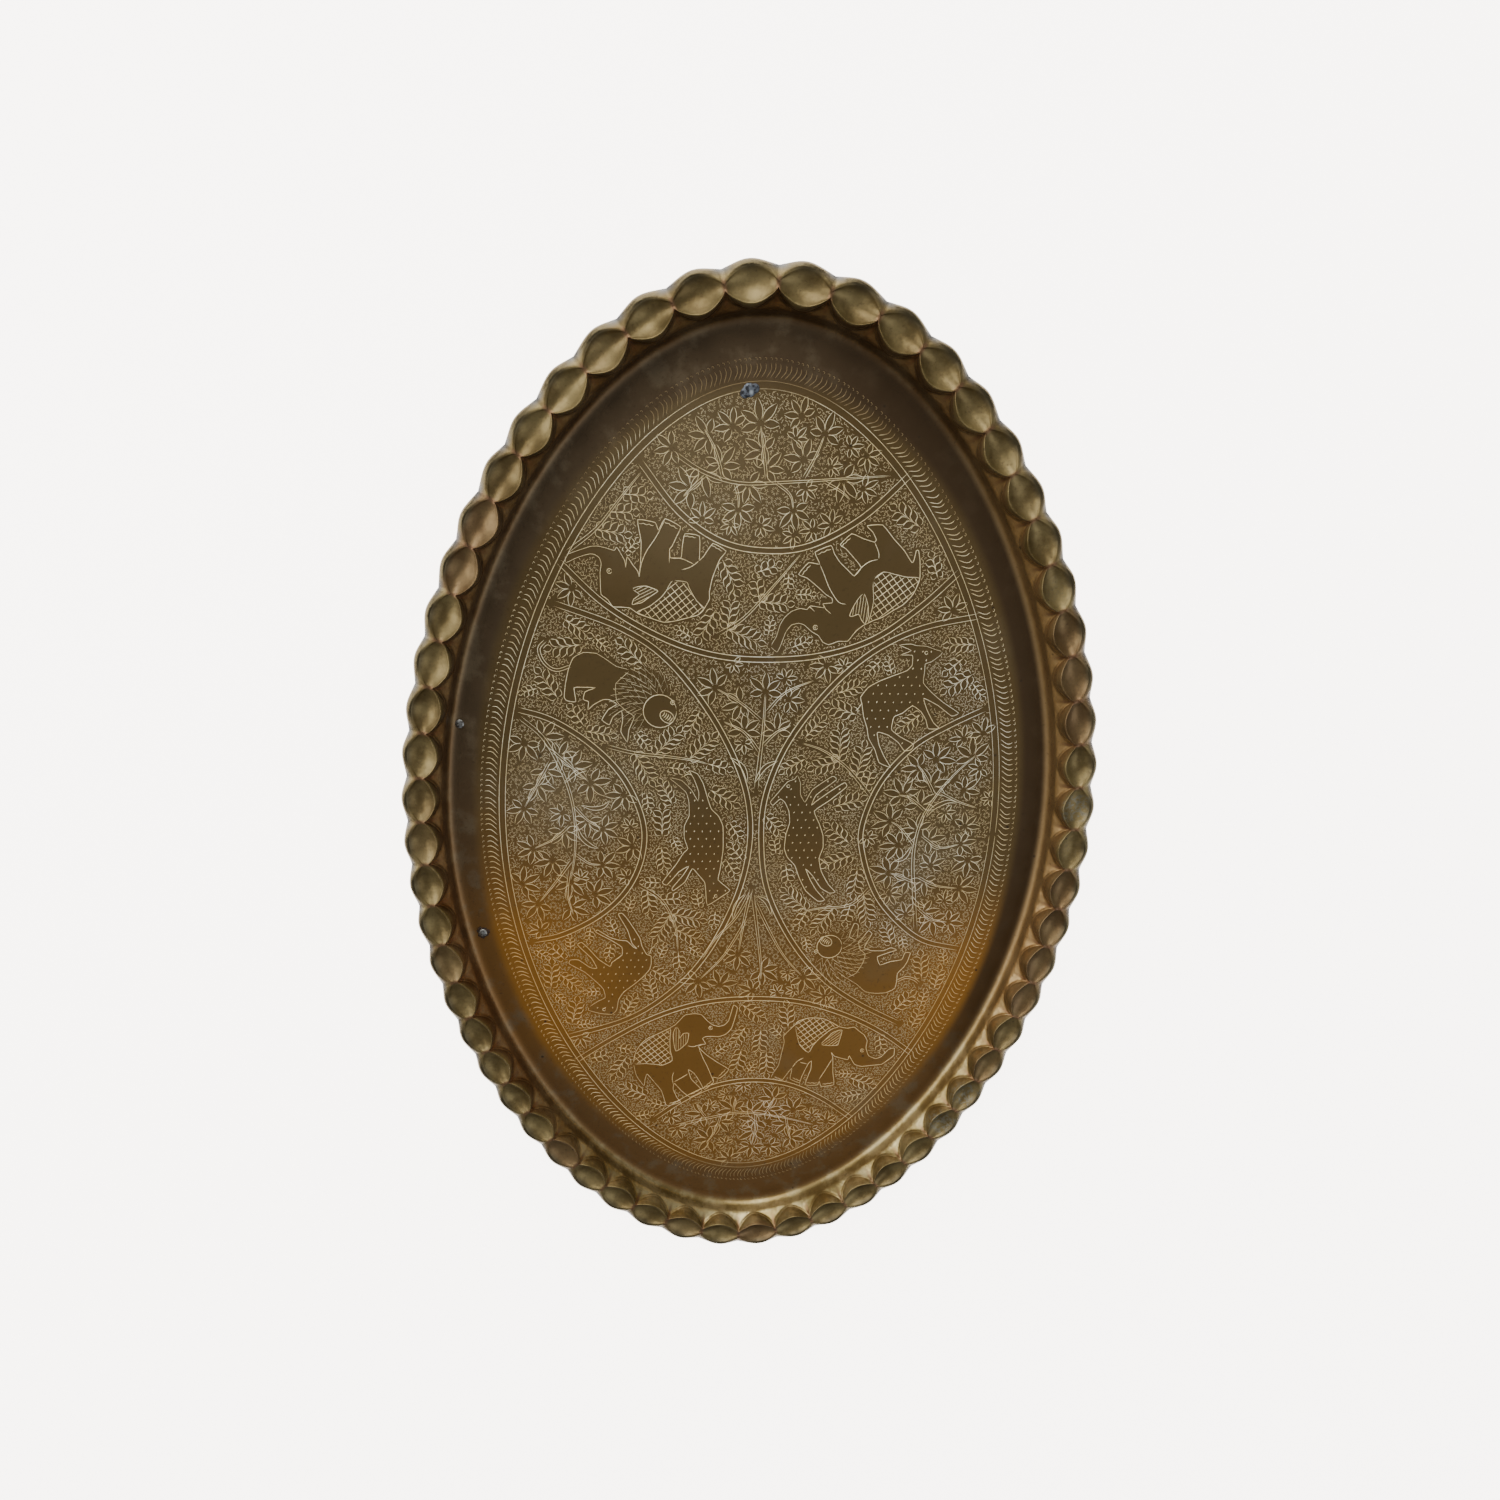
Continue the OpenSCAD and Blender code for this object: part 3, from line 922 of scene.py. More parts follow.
# Stems of the leafy fields: their points, and whether hands or feathers grow on them
STEMS = [
    # the left field
    ([(-128, 68), (-116, 57), (-108, 42), (-102, 24), (-100, 6), (-101, -12), (-104, -28)], 2.0, "hand"),
    ([(-112, 50), (-101, 40), (-91, 31)], 1.4, "hand"),
    ([(-101, 18), (-93, 9), (-85, 4)], 1.4, "hand"),
    ([(-101, -11), (-93, -17), (-86, -18)], 1.4, "hand"),
    ([(-102, -14), (-112, -28), (-123, -42)], 1.6, "hand"),
    ([(-104, -20), (-106, -36), (-103, -50)], 1.4, "hand"),
    ([(-112, 44), (-120, 30), (-128, 16)], 1.4, "hand"),
    ([(-103, 6), (-112, -2), (-124, -8)], 1.4, "hand"),
    # the right field
    ([(101, -62), (98, -40), (95, -14), (97, 6), (104, 22), (114, 36), (126, 48)], 2.0, "hand"),
    ([(96, -8), (86, 4), (80, 8)], 1.4, "hand"),
    ([(97, -30), (88, -26), (82, -24)], 1.4, "hand"),
    ([(100, 14), (90, 22), (83, 24)], 1.4, "hand"),
    ([(104, 24), (97, 36), (92, 42)], 1.4, "hand"),
    ([(98, 0), (110, -8), (122, -6)], 1.4, "hand"),
    ([(98, -26), (110, -32), (124, -34)], 1.4, "hand"),
    ([(100, -46), (110, -54), (120, -56)], 1.4, "hand"),
    ([(106, 26), (118, 20), (130, 16)], 1.4, "hand"),
    # the plant between the two big side arcs, above and below
    ([(1.5, 26), (3, 44), (4.5, 62), (5, 82)], 2.2, "hand"),
    ([(3.5, 48), (-6, 60), (-18, 66)], 1.5, "hand"),
    ([(4, 52), (12, 60), (20, 64)], 1.5, "hand"),
    ([(4, 66), (-8, 76), (-22, 84)], 1.5, "hand"),
    ([(5, 70), (16, 82), (32, 89)], 1.5, "hand"),
    ([(1, -32), (-3, -54), (-6, -76)], 1.8, "hand"),
    ([(1, -34), (-8, -52), (-20, -66), (-28, -80)], 1.6, "hand"),
    ([(1.5, -36), (5, -60), (8, -84), (8, -94)], 1.8, "hand"),
    ([(2.5, -40), (12, -60), (22, -78), (34, -92)], 1.6, "hand"),
    ([(0, -50), (-14, -76), (-30, -94)], 1.5, "hand"),
    # the back end
    ([(-44, 200), (-30, 192), (-12, 187), (14, 188), (40, 190), (66, 192)], 1.9, "hand"),
    ([(-14, 187), (-12, 180), (-12, 175)], 1.3, "hand"),
    ([(6, 188), (14, 182), (16, 175)], 1.3, "hand"),
    ([(30, 189), (40, 184), (45, 180)], 1.3, "hand"),
    ([(-28, 191), (-36, 184), (-40, 180)], 1.3, "hand"),
    ([(-20, 189), (-24, 202), (-30, 212)], 1.4, "hand"),
    ([(2, 188), (0, 202), (-2, 214)], 1.4, "hand"),
    ([(20, 189), (26, 200), (30, 210)], 1.4, "hand"),
    # the front end
    ([(-46, -200), (-24, -194), (0, -190), (24, -194), (48, -201)], 1.8, "hand"),
    ([(-6, -190), (-6, -184), (-5, -178)], 1.3, "hand"),
    ([(14, -191), (18, -184), (20, -178)], 1.3, "hand"),
    ([(-24, -193), (-28, -187), (-30, -183)], 1.3, "hand"),
    ([(-14, -191), (-18, -204), (-24, -214)], 1.3, "hand"),
    ([(8, -190), (8, -204), (6, -216)], 1.3, "hand"),
    ([(28, -194), (30, -206), (32, -212)], 1.3, "hand"),
    # among the elephants at the back
    ([(-22, 112), (-8, 121), (6, 136), (22, 155)], 1.7, "feather"),
    ([(-100, 152), (-84, 164), (-72, 178), (-60, 192)], 1.7, "feather"),
    # the left side, round the lion and the deer
    ([(-82, 52), (-66, 48), (-48, 46), (-34, 44), (-26, 42)], 1.8, "feather"),
    ([(-66, -30), (-52, -40), (-44, -56), (-42, -74)], 1.7, "feather"),
    # the right side, round the deer and the lion
    ([(68, 22), (58, 34), (50, 42), (38, 50), (26, 54)], 1.8, "feather"),
    ([(72, -32), (60, -44), (44, -46), (32, -48)], 1.7, "feather"),
]

CRESCENTS = [
    [(-97, 18), (-90, 16), (-84, 17), (-80, 21)],
    [(-99, 6), (-97, -1), (-92, -6), (-87, -8)],
    [(-106, 30), (-98, 37), (-92, 38)],
    [(100, 10), (104, 16), (112, 20), (118, 19)],
    [(94, -6), (90, -14), (84, -17)],
    [(96, -38), (100, -44), (106, -46)],
    [(0, 30), (6, 40), (14, 44)],
    [(-3, 30), (-6, 40), (-14, 46)],
    [(-2, -36), (-8, -44), (-10, -54)],
    [(4, -38), (10, -42), (14, -52)],
]


def leafy(x, y):
    """Whether a place is in the end or side fields or between the side arcs, where hands grow."""
    def across(name):
        p = np.array(sorted(ARCS[name]))
        return np.interp(x, p[:, 0], p[:, 1])

    def along(name):
        p = np.array(sorted((b, a) for a, b in ARCS[name]))
        return np.interp(y, p[:, 0], p[:, 1])

    ends = (y > across("back_small")) | (y < across("front_small"))
    sides = (np.abs(y) < 72) & ((x < along("left_small")) | (x > along("right_small")))
    between_sides = (x > along("left_big")) & (x < along("right_big"))
    between_ends = (y < across("back_big")) & (y > across("front_big"))
    return ends | sides | (between_sides & between_ends)


def engrave_leaves(lines):
    def hand(spot, angle):
        size = chance.uniform(11, 13.5)
        ahead = turned([(size * 0.55, 0)], angle, spot)[0]
        if clear(ahead + disc(size * 0.36)).all():
            palmate(lines, spot, angle, size)

    def plume(spot, angle):
        for length in (19, 16, 13):
            root = turned([(1.5, 0)], angle, spot)[0]
            if leaf_room(root, angle, length, length * 0.64):
                feather(lines, spot, angle, length, length * 0.64)
                return

    for points in CRESCENTS:
        crescent(lines, points)
    for points, width, kind in STEMS:
        stem(lines, points, width, hand if kind == "hand" else plume)
    for size in (17, 14.5, 12.5, 10.5, 9):
        for _ in range(2500):
            spot = np.array([chance.uniform(-135, 135), chance.uniform(-225, 225)])
            angle = chance.uniform(0, 360)
            if not clear(spot):
                continue
            if leafy(*spot):
                if clear(spot + disc(size * 0.36)).all():
                    root = turned([(-size * 0.3, 0)], angle, spot)[0]
                    palmate(lines, root, angle, size * 0.74)
            elif leaf_room(spot, angle, size, size * 0.64):
                feather(lines, spot, angle, size, size * 0.64)


# ---------------------------------------------------------------- the ground of small curls

def curl_shapes():
    """A hook, a wave, a comma and a ring, each with the same number of points."""
    a = np.linspace(0.4, 4.9, 6)
    hook = np.stack([np.cos(a), np.sin(a)], -1) * 0.92
    s = np.linspace(-1, 1, 6)
    wave = np.stack([s * 1.35, 0.62 * np.sin(s * 3.0)], -1)
    comma = np.stack([s * 1.05, 0.5 * (1 - s ** 2)], -1)
    b = np.linspace(0, TURN * 0.93, 6)
    ring = np.stack([np.cos(b), np.sin(b)], -1) * 0.7
    return np.stack([hook, hook, wave, comma, ring])


def free_spots(spots, reach):
    """Which of many spots have nothing cut within a reach of them."""
    keep = np.ones(len(spots), bool)
    for offset in disc(reach):
        keep &= clear(spots + offset)
    return spots[keep]


GROUND_X, GROUND_Y = 145, 232


def staggered(pitch):
    """Spots in shifted rows all over the field, each a little out of place."""
    columns = np.arange(-GROUND_X, GROUND_X, pitch)
    x, y = np.meshgrid(columns, np.arange(-GROUND_Y, GROUND_Y, pitch * 0.87))
    x = x + np.where(np.arange(len(x)) % 2, pitch / 2, 0)[:, None]
    spots = np.stack([x.ravel(), y.ravel()], -1)
    return spots + chance.uniform(-0.18, 0.18, spots.shape) * pitch


def engrave_ground(pieces):
    """Small flowers between the hands, and curls everywhere else."""
    shapes = curl_shapes()

    def piece_at(spot):
        share = (spot[1] + GROUND_Y) / (2 * GROUND_Y)
        return pieces[int(np.clip(share * len(pieces), 0, len(pieces) - 1))]

    a = np.linspace(0, TURN, 6)
    petal = np.stack([0.62 * np.cos(a), 0.48 * np.sin(a)], -1)
    flowers = free_spots(staggered(5.2), 2.1)
    for spot in flowers[leafy(*flowers.T)]:
        first = chance.uniform(0, 360)
        for k in range(6):
            angle = first + 60 * k
            foot = turned([(1.65, 0)], angle, spot)[0]
            piece_at(spot).line(turned(petal, angle, foot), 0.34)
        take_line([spot, spot], 2.4)
    for spot in free_spots(staggered(1.72), 0.45):
        shape = shapes[chance.integers(len(shapes))]
        curl = turned(shape, chance.uniform(0, 360), spot, chance.uniform(0.62, 0.8))
        piece_at(spot).line(curl, 0.36)


# ---------------------------------------------------------------- the animals

# Outlines, which run round each animal, and the parts inside them. Their points were chosen by
# eye and then worked out in millimetres by a separate script, so they are not numbers set by hand.
ELEPHANTS = [
    {
        "outline": [(-99.5, 151.2), (-94.7, 153.1), (-90.3, 154.6), (-86.7, 155.7), (-83.1, 155.9),
            (-79.1, 155.1),
            (-74.8, 153.9), (-73.8, 155.5), (-72.8, 154.6), (-69.6, 149), (-69.2, 145.8),
            (-68.3, 151), (-65.7, 147.3), (-63, 143.8), (-62.3, 141.2), (-61.6, 147.7),
            (-61.1, 157.5), (-61.5, 160.9), (-62.7, 168.9), (-54, 167.7), (-52.3, 164.1),
            (-48.9, 169.6), (-41.1, 165.9), (-43.1, 161.2), (-45.4, 156.5), (-46.7, 154.9),
            (-46.3, 150.8), (-40.9, 150.8), (-40.2, 156.4), (-38.9, 162.5), (-31.5, 161.5),
            (-31.4, 151.7), (-31.5, 149.7), (-29.3, 151.7), (-24.6, 158.1), (-17.8, 154.5),
            (-20.9, 150.5), (-23, 145.5), (-24.8, 140.5), (-26.1, 134.1), (-26, 130.5),
            (-28.7, 125.7), (-32, 122.4), (-38, 120.7), (-43.9, 119.2), (-49.9, 118.5),
            (-58.1, 121), (-64, 123.3), (-67.3, 125.5), (-71.4, 125.9), (-76.2, 126.1),
            (-78.7, 129.6), (-82.1, 132.2), (-82.3, 138.3), (-82.3, 143.2), (-81.6, 147.4),
            (-82.5, 150.2), (-84.6, 151.7), (-86.8, 152.1), (-90.4, 151.3),
            (-94.8, 149.7), (-99.5, 147.6)],
        "folds": [
            [(-48.9, 169.3), (-53.4, 161), (-57.8, 154.8), (-60.4, 149.8), (-61.9, 144.6)],
            [(-46.3, 150.8), (-41, 150.5), (-36.6, 148.9), (-34, 147.6)],
            [(-31.5, 149.7), (-34, 147.6), (-37.3, 145.8), (-41, 144.9)],
            [(-46.7, 154.9), (-46.9, 147.6)],
        ],
        "feet": [
            [(-62.7, 168.9), (-54, 167.7)],
            [(-48.9, 169.6), (-41.1, 165.9)],
            [(-38.9, 162.5), (-31.5, 161.5)],
            [(-24.6, 158.1), (-17.8, 154.5)],
        ],
        "cloth": [(-44.8, 139.5), (-38, 138.9), (-36.6, 136.1), (-32.8, 129.7), (-28.7, 125.7),
            (-32, 122.4), (-38, 120.7), (-43.9, 119.2), (-49.9, 118.5), (-58.1, 121),
            (-64, 123.3), (-57.3, 126.4), (-51.4, 130.9), (-48.4, 134.5), (-46.9, 137.3)],
        "ear": [(-65.9, 135), (-63.1, 136.3), (-58.7, 136.6), (-54.3, 135.1), (-52.8, 134.1),
            (-57.3, 131.1), (-61, 128.4), (-63.8, 127.7), (-66.2, 127.3), (-65.3, 130),
            (-62.3, 132.4)],
        "eye": (-77.6, 143.8),
    },
    {
        "outline": [(7, 106.6), (9.8, 111.8), (11.5, 117.8), (13.6, 121.5), (17.2, 124.8),
            (21.7, 126.4), (25.4, 125.9), (27.3, 127.8), (34.4, 126.9), (33.8, 128.9),
            (38.6, 129.5), (38.4, 131.7), (34.9, 133.8), (30.2, 137.7), (24.7, 141.8),
            (20.1, 143.6), (25.1, 149.5), (31, 148.8), (28.1, 154.7), (36.3, 158.1),
            (38.2, 154.2), (41.4, 150), (45.4, 146.5), (49.4, 143.2), (52.8, 147.5),
            (48, 152.8), (44, 156.7), (41, 158.6), (46.6, 164), (52.6, 161.8), (58.8, 160.1),
            (59.6, 161.5), (57.5, 165), (54.3, 168),
            (62.4, 168.5), (68.9, 161.7), (74.7, 156.2), (79.3, 150.2), (80.3, 152),
            (81, 156.3), (82.2, 156.3), (83.4, 151.3), (84.2, 142.8), (82.5, 137),
            (80.5, 133.3), (76.3, 128.9), (71.2, 125.9), (66.1, 122.5), (60.9, 120.6),
            (58.7, 119.4), (55.7, 117.9), (52.1, 114.9), (48.2, 109.8), (43.2, 109.6),
            (38, 107.8), (34.8, 109.1), (32.3, 112.4), (28.4, 114.6), (24.4, 117.9),
            (21.3, 118.8), (17.5, 117.8), (14.7, 114.1), (12.6, 108.1), (10.5, 103.6)],
        "folds": [
            [(31, 148.8), (33.6, 143.5), (37, 136.4), (42, 129.9), (46.6, 128.8)],
            [(49.4, 143.2), (51.5, 145.7), (53.6, 148.1), (57.1, 150.5), (61.7, 151.7)],
            [(58.8, 160.1), (61.3, 155.2), (61.7, 151.7)],
            [(34.3, 128.3), (35.4, 126.2), (38.7, 123.6)],
            [(26.2, 127.8), (30, 124.6)],
        ],
        "feet": [
            [(20.1, 143.6), (25.1, 149.5)],
            [(28.1, 154.7), (36.3, 158.1)],
            [(41, 158.6), (46.6, 164)],
        ],
        "cloth": [(59.7, 141.3), (64.7, 145.4), (70.4, 144.4), (77.3, 143), (84, 142.6), (82.5, 137),
            (80.5, 133.3), (76.3, 128.9), (71.2, 125.9), (66.1, 122.5), (60.9, 120.6),
            (58.7, 119.8), (59.9, 125.7), (60.5, 130.9)],
        "ear": [(54.9, 134.4), (52.4, 131.8), (49.7, 127.1), (48.3, 123), (50, 122.7), (53, 123.8),
            (54.8, 120.9), (56.8, 119), (58.3, 122.8), (57.9, 127.9), (56.4, 132.3)],
        "eye": (30.4, 116.7),
    },
    {
        "outline": [(-69.7, -151.6), (-68.3, -143.4), (-64.7, -137.2), (-60.2, -133.2), (-54, -130.3),
            (-47.8, -126.8), (-43.9, -124.3), (-40.8, -120.9), (-37.7, -117.4), (-32, -116.5),
            (-27.6, -117.3), (-24, -121.6), (-20.5, -124.7), (-16.9, -125.8), (-13.4, -124.9),
            (-10.8, -121.9), (-9.2, -115.8), (-7.9, -110.8),
            (-5.5, -112.9), (-6.8, -119.9), (-8.9, -127.5), (-12.4, -131.5), (-16.8, -133.2),
            (-20.8, -132.9), (-24.8, -133), (-26.7, -134.4), (-24.7, -138.2), (-27, -138.6),
            (-29.3, -140.2), (-24.6, -145.8), (-17.4, -151.7), (-9.9, -157.3), (-15.4, -163.6),
            (-19.9, -162.7), (-19.4, -166.5), (-25.1, -171.9), (-28, -166.3), (-31.7, -159.8),
            (-35.5, -156.8), (-33.5, -164), (-26.6, -172.7), (-34.3, -177.4), (-39.8, -172.4),
            (-44.3, -166.8), (-45, -171.2), (-42.5, -177.8), (-40.3, -181.1), (-48.4, -183.6),
            (-49.9, -181.9), (-52.4, -172.2), (-56.9, -165.6), (-61.4, -159.4),
            (-62.7, -163.4), (-63.4, -168.2), (-67.2, -162.4), (-68.5, -159)],
        "folds": [
            [(-29.3, -140.2), (-26.4, -148.3), (-23.6, -154.7), (-20.8, -162.2), (-19.4, -166.5)],
            [(-36.3, -139.3), (-32.7, -140.1), (-29.4, -139.1), (-24.7, -138.2)],
            [(-44.8, -165.9), (-39.8, -162.8), (-35.3, -159.7)],
            [(-44.5, -158), (-45.6, -162.7), (-44.8, -168)],
        ],
        "feet": [
            [(-9.9, -157.3), (-15.4, -163.6)],
            [(-19.4, -166.5), (-25.1, -171.9)],
            [(-26.6, -172.7), (-34.3, -177.4)],
            [(-40.3, -181.1), (-48.4, -183.6)],
        ],
        "cloth": [(-69.7, -151.6), (-62.2, -151.8), (-55.5, -152.6), (-51.5, -153.1), (-45.6, -149.8),
            (-46.8, -142.7), (-47, -134.5), (-46.8, -126.8), (-54, -130.3), (-60.2, -133.2),
            (-64.7, -137.2), (-68.3, -143.4)],
        "ear": [(-43, -125.6), (-40.8, -129.5), (-41.2, -134.1), (-38.6, -130.5), (-35.3, -130.6),
            (-36.3, -136.9), (-40.3, -141.3), (-43.4, -143), (-44.7, -136.6), (-45, -130.4)],
        "eye": (-21.8, -126.8),
    },
    {
        "outline": [(17.4, -163.9), (18.2, -160.9), (21.6, -154.6), (23.1, -146.2), (24.5, -137.9),
            (23.9, -133.7), (26.9, -129.7), (30.7, -125.6), (33.3, -122.6), (39.9, -120.7),
            (48, -121.3), (53.5, -124), (58.2, -127.1), (63.7, -128.5), (68.2, -127.8),
            (71.1, -130.4), (74.9, -133.6), (77.1, -137.8), (76.7, -143), (78.8, -148.9),
            (83.6, -151.1), (87.1, -149.6), (91.3, -144.4), (94.9, -143.6),
            (95.1, -148.7), (91.9, -152), (87.6, -155.4), (82.1, -156), (74.8, -156.7),
            (70.1, -155), (66.4, -148.6), (65.7, -151.5), (62.4, -150.7), (56.8, -148.7),
            (54.8, -146), (56, -150), (56.6, -160.6), (57.8, -170.1), (49.7, -171.2),
            (48.3, -167.1), (47.1, -170.1), (39.2, -169.7), (42.3, -158.2), (42.4, -151.8),
            (40.3, -154.4), (36.8, -163.4), (35.5, -168.1), (29.4, -165.2), (30, -160.1),
            (30.1, -157.1), (27.3, -161.1), (23.7, -166.6)],
        "folds": [
            [(56, -150), (51.9, -158.4), (47.4, -167.1)],
            [(34.7, -152.7), (40.3, -154.4)],
            [(37.7, -149.4), (33.3, -152.2), (30.1, -157.1)],
        ],
        "feet": [
            [(57.8, -170.1), (49.7, -171.2)],
            [(47.1, -170.1), (39.2, -169.7)],
            [(35.5, -168.1), (29.4, -165.2)],
            [(23.7, -166.6), (17.4, -163.9)],
        ],
        "cloth": [(31, -125.8), (34.1, -139.6), (40.1, -145.7), (42.7, -140.8), (47, -135.2),
            (53.8, -129.1), (58.2, -127.3), (53.5, -124), (48, -121.3), (39.9, -120.7),
            (33.3, -122.6)],
        "ear": [(47.7, -139.9), (51.5, -135.3), (54.9, -131.4), (60.6, -129.8), (59.1, -138.5),
            (58.2, -140.8), (52.7, -140.9)],
        "eye": (74.4, -144.9),
    },
]

DEER = [
    {
        # at the back right
        "outline": [(100.1, 104.7), (99.2, 102.8), (94.7, 99.3), (91.4, 98), (91.4, 93.9),
            (91.3, 87.8), (96.4, 82.6), (103.5, 77.1), (112.7, 71.3), (108.9, 69.6),
            (100.9, 75.3), (92.3, 79.4), (94.8, 72.9), (99, 65.9), (102.7, 62.5), (96.5, 62.4),
            (94.7, 67.3), (91.4, 72), (86.4, 75.2), (81.2, 71), (76.8, 69.1), (76, 65.3),
            (76, 61.6), (81, 57.8), (89.1, 53.5), (87.8, 50.3), (84.1, 49.8), (80.3, 54.5),
            (74.4, 58.6), (69.4, 60.2), (68, 59.7), (69.6, 53), (73, 46.4), (77, 40.2),
            (70.4, 42.9), (67.5, 50.2), (63.4, 56.8), (62.1, 62.5), (59.7, 69), (58.3, 75.9),
            (57.3, 79.8), (61.1, 85.1), (67.3, 88.7), (73.5, 91.2), (81.5, 94.3), (84.2, 97.3),
            (83.9, 102.6), (77.3, 102.7), (83.1, 105.1), (76.2, 108), (82.5, 108.6),
            (85.7, 107.8), (91.2, 107.5), (95.9, 105.9)],
        "eye": (91.4, 104),
        "tail": [(58.1, 76.4), (56.8, 74.1), (54.9, 71.9)],
    },
    {
        # head down, at the left
        "outline": [(-47.2, 34), (-40.3, 32.4), (-34.8, 27), (-30.9, 20.2), (-30.6, 25.7),
            (-33.3, 33.2), (-36, 38.1), (-31.3, 36.1), (-28.1, 30.4), (-25.4, 21.4),
            (-23.3, 15.5), (-19.2, 11.3), (-16.6, 5.1), (-16.3, -9), (-17.8, -21.5),
            (-18.8, -27.8), (-11.8, -34.3), (-16.1, -37.9), (-24.9, -43.8), (-26, -34.2),
            (-26.7, -29.1), (-30.6, -24.1), (-33.9, -20.5), (-38.2, -29), (-44.9, -34.4),
            (-45.5, -32.6), (-39.5, -25), (-35.9, -18.9), (-41.9, -22.8), (-48.5, -30.7),
            (-51.2, -28.9), (-43.2, -17.8), (-39.1, -11), (-36.6, -8.2), (-38.6, -1.9),
            (-38.6, 5.5), (-35.9, 11.7), (-36.1, 19.7), (-37.6, 25.3), (-42.4, 29.9)],
        "eye": (-20, -37.9),
        "tail": [(-40, 34.1), (-36.8, 36.1), (-34.6, 35.4)],
    },
    {
        # head up, at the right
        "outline": [(24.7, 35.5), (26.6, 30.8), (26.9, 24.3), (29.7, 19.6), (33.6, 27.1), (44.4, 34.9),
            (46.8, 32.8), (35.9, 24), (33.5, 17.8), (35.7, 19.9), (43.3, 25.7), (51.5, 31.2),
            (53, 28.8), (43.6, 20.6), (35.3, 14.4), (38.6, 6.7), (41.1, -0.3), (41.6, -7.8),
            (39.6, -14.6), (41.4, -22.7), (46, -30.9), (50.4, -35.8), (47, -36.5),
            (41.6, -33.1), (36.4, -25.4), (32.1, -21), (35.2, -28.1), (39.1, -34.6),
            (44.5, -40.9), (40.4, -41.6), (32.8, -34.9), (28.5, -26.5), (25.6, -18.8),
            (21.1, -13.8), (19.1, -8.2), (19.7, 0.6), (21.5, 7.5), (20.7, 14.4), (18.2, 19.6),
            (15.5, 21.6), (11.5, 17.8), (10, 19.9), (14.5, 25.7), (19.2, 31.6), (23.2, 33.3)],
        "eye": (19.8, 29.1),
        "tail": [(38.9, -14.2), (43.4, -17.1), (46, -20)],
    },
    {
        # upside down, at the left of the front
        "outline": [(-96, -110.9), (-90.9, -107.2), (-86.1, -104.5), (-86.9, -99.3), (-88.1, -97.2),
            (-90.5, -94.4), (-97.7, -87.1), (-106.8, -81.4), (-106.1, -78.8), (-101.2, -78.8),
            (-94.7, -83.9), (-90.5, -84.5), (-93.5, -77.8), (-101.5, -68.9), (-99, -67.2),
            (-95, -71.4), (-89.5, -78.4), (-82.7, -83.5), (-81.5, -80.7), (-75.4, -75.8),
            (-75.5, -70.5), (-82.3, -65.6), (-90.5, -60.7), (-89.4, -59.2), (-82.3, -64.1),
            (-77.2, -65.9), (-72.3, -66.6), (-68.6, -70.6), (-66.5, -71.7), (-69.4, -68.1),
            (-71.9, -59.4), (-77.1, -49.2), (-74.7, -48.6), (-71.7, -52.4), (-68.2, -58.3),
            (-64.6, -64.9), (-63.5, -70), (-60.8, -75.5), (-58.2, -76.7), (-58.1, -81.6),
            (-59.1, -85.6), (-62.9, -90.5), (-69, -96.1), (-74.6, -100.6), (-78, -105.7),
            (-79.4, -113.2), (-82.5, -116.2), (-89.6, -115.4), (-96.4, -113.2)],
        "eye": (-87, -112.8),
        "tail": [(-59.3, -76), (-57.8, -71.8), (-55.3, -69.4)],
    },
]

LIONS = [
    {
        "body": [[(-68.1, 93.2), (-74.9, 95.2), (-80.2, 98.8), (-85.4, 102), (-92.2, 102.4),
            (-97.6, 99.6), (-100.4, 93.5), (-102.3, 85.5), (-103.2, 78.8), (-102, 76.8),
            (-97.1, 76.2), (-97.8, 83.7), (-92.8, 84), (-86.4, 83.8), (-92, 81.6),
            (-93.1, 77.4), (-90.3, 76.3), (-90.8, 71.9), (-87.6, 74.7), (-82.6, 77.4),
            (-79.2, 77.4), (-75.2, 75.1), (-79.9, 72), (-83.5, 66.4), (-79.5, 63.7),
            (-77.6, 67.9), (-72.8, 71.4), (-72.3, 65.7), (-73.4, 59.9), (-70, 54.1),
            (-69, 60.9), (-66, 68.2), (-70, 71.2), (-75.2, 76.4), (-75.6, 86)]],
        "head": (-52.1, 71.3, 9),
        "mouth": (-48.2, 68.2, 4.2, -35),
        "eye": (-45.1, 76.1),
        "mane": (62, 226),
        "tail": [(-98.6, 95.4), (-107, 93), (-113, 97), (-115.4, 104), (-111.6, 108.6)],
    },
    {
        "body": [[(61.3, -93.1), (67.6, -97.5), (73.1, -102.7), (79.7, -104), (86.3, -103.6),
            (91.5, -100.7), (92.3, -95.4), (92.3, -90.3), (95.6, -86.4), (97.7, -82.3),
            (99.1, -76.4), (95.8, -76.2), (94.1, -80.9), (87, -82.2), (81, -84.4),
            (78.9, -78.9), (85.5, -76.1), (90.5, -74.3), (86.8, -72.7), (82.3, -74.7),
            (75.3, -74.6), (70.5, -72.7), (72.5, -67.4), (74.5, -63.2), (72.1, -61.2),
            (68.6, -66.5), (66.7, -68.5), (67.9, -73.5), (71.4, -77), (70.2, -83.1),
            (66.6, -89.9)],
            [(65.4, -67.3), (65.8, -57.6), (63.2, -56.3), (60.8, -64.8)]],
        "head": (49.1, -71.6, 7.6),
        "mouth": (46.7, -68, 4, 150),
        "eye": (41.3, -74.7),
        "tail": [(91.5, -96.2), (97.3, -93.3), (102.6, -94.3), (106.6, -97.4)],
        "mane": (-140, 58),
    },
]


def outline_of(lines, points, slack=0.22):
    run = curve(points, True, 3, slack)
    lines.line(run, OUTLINE)
    return run


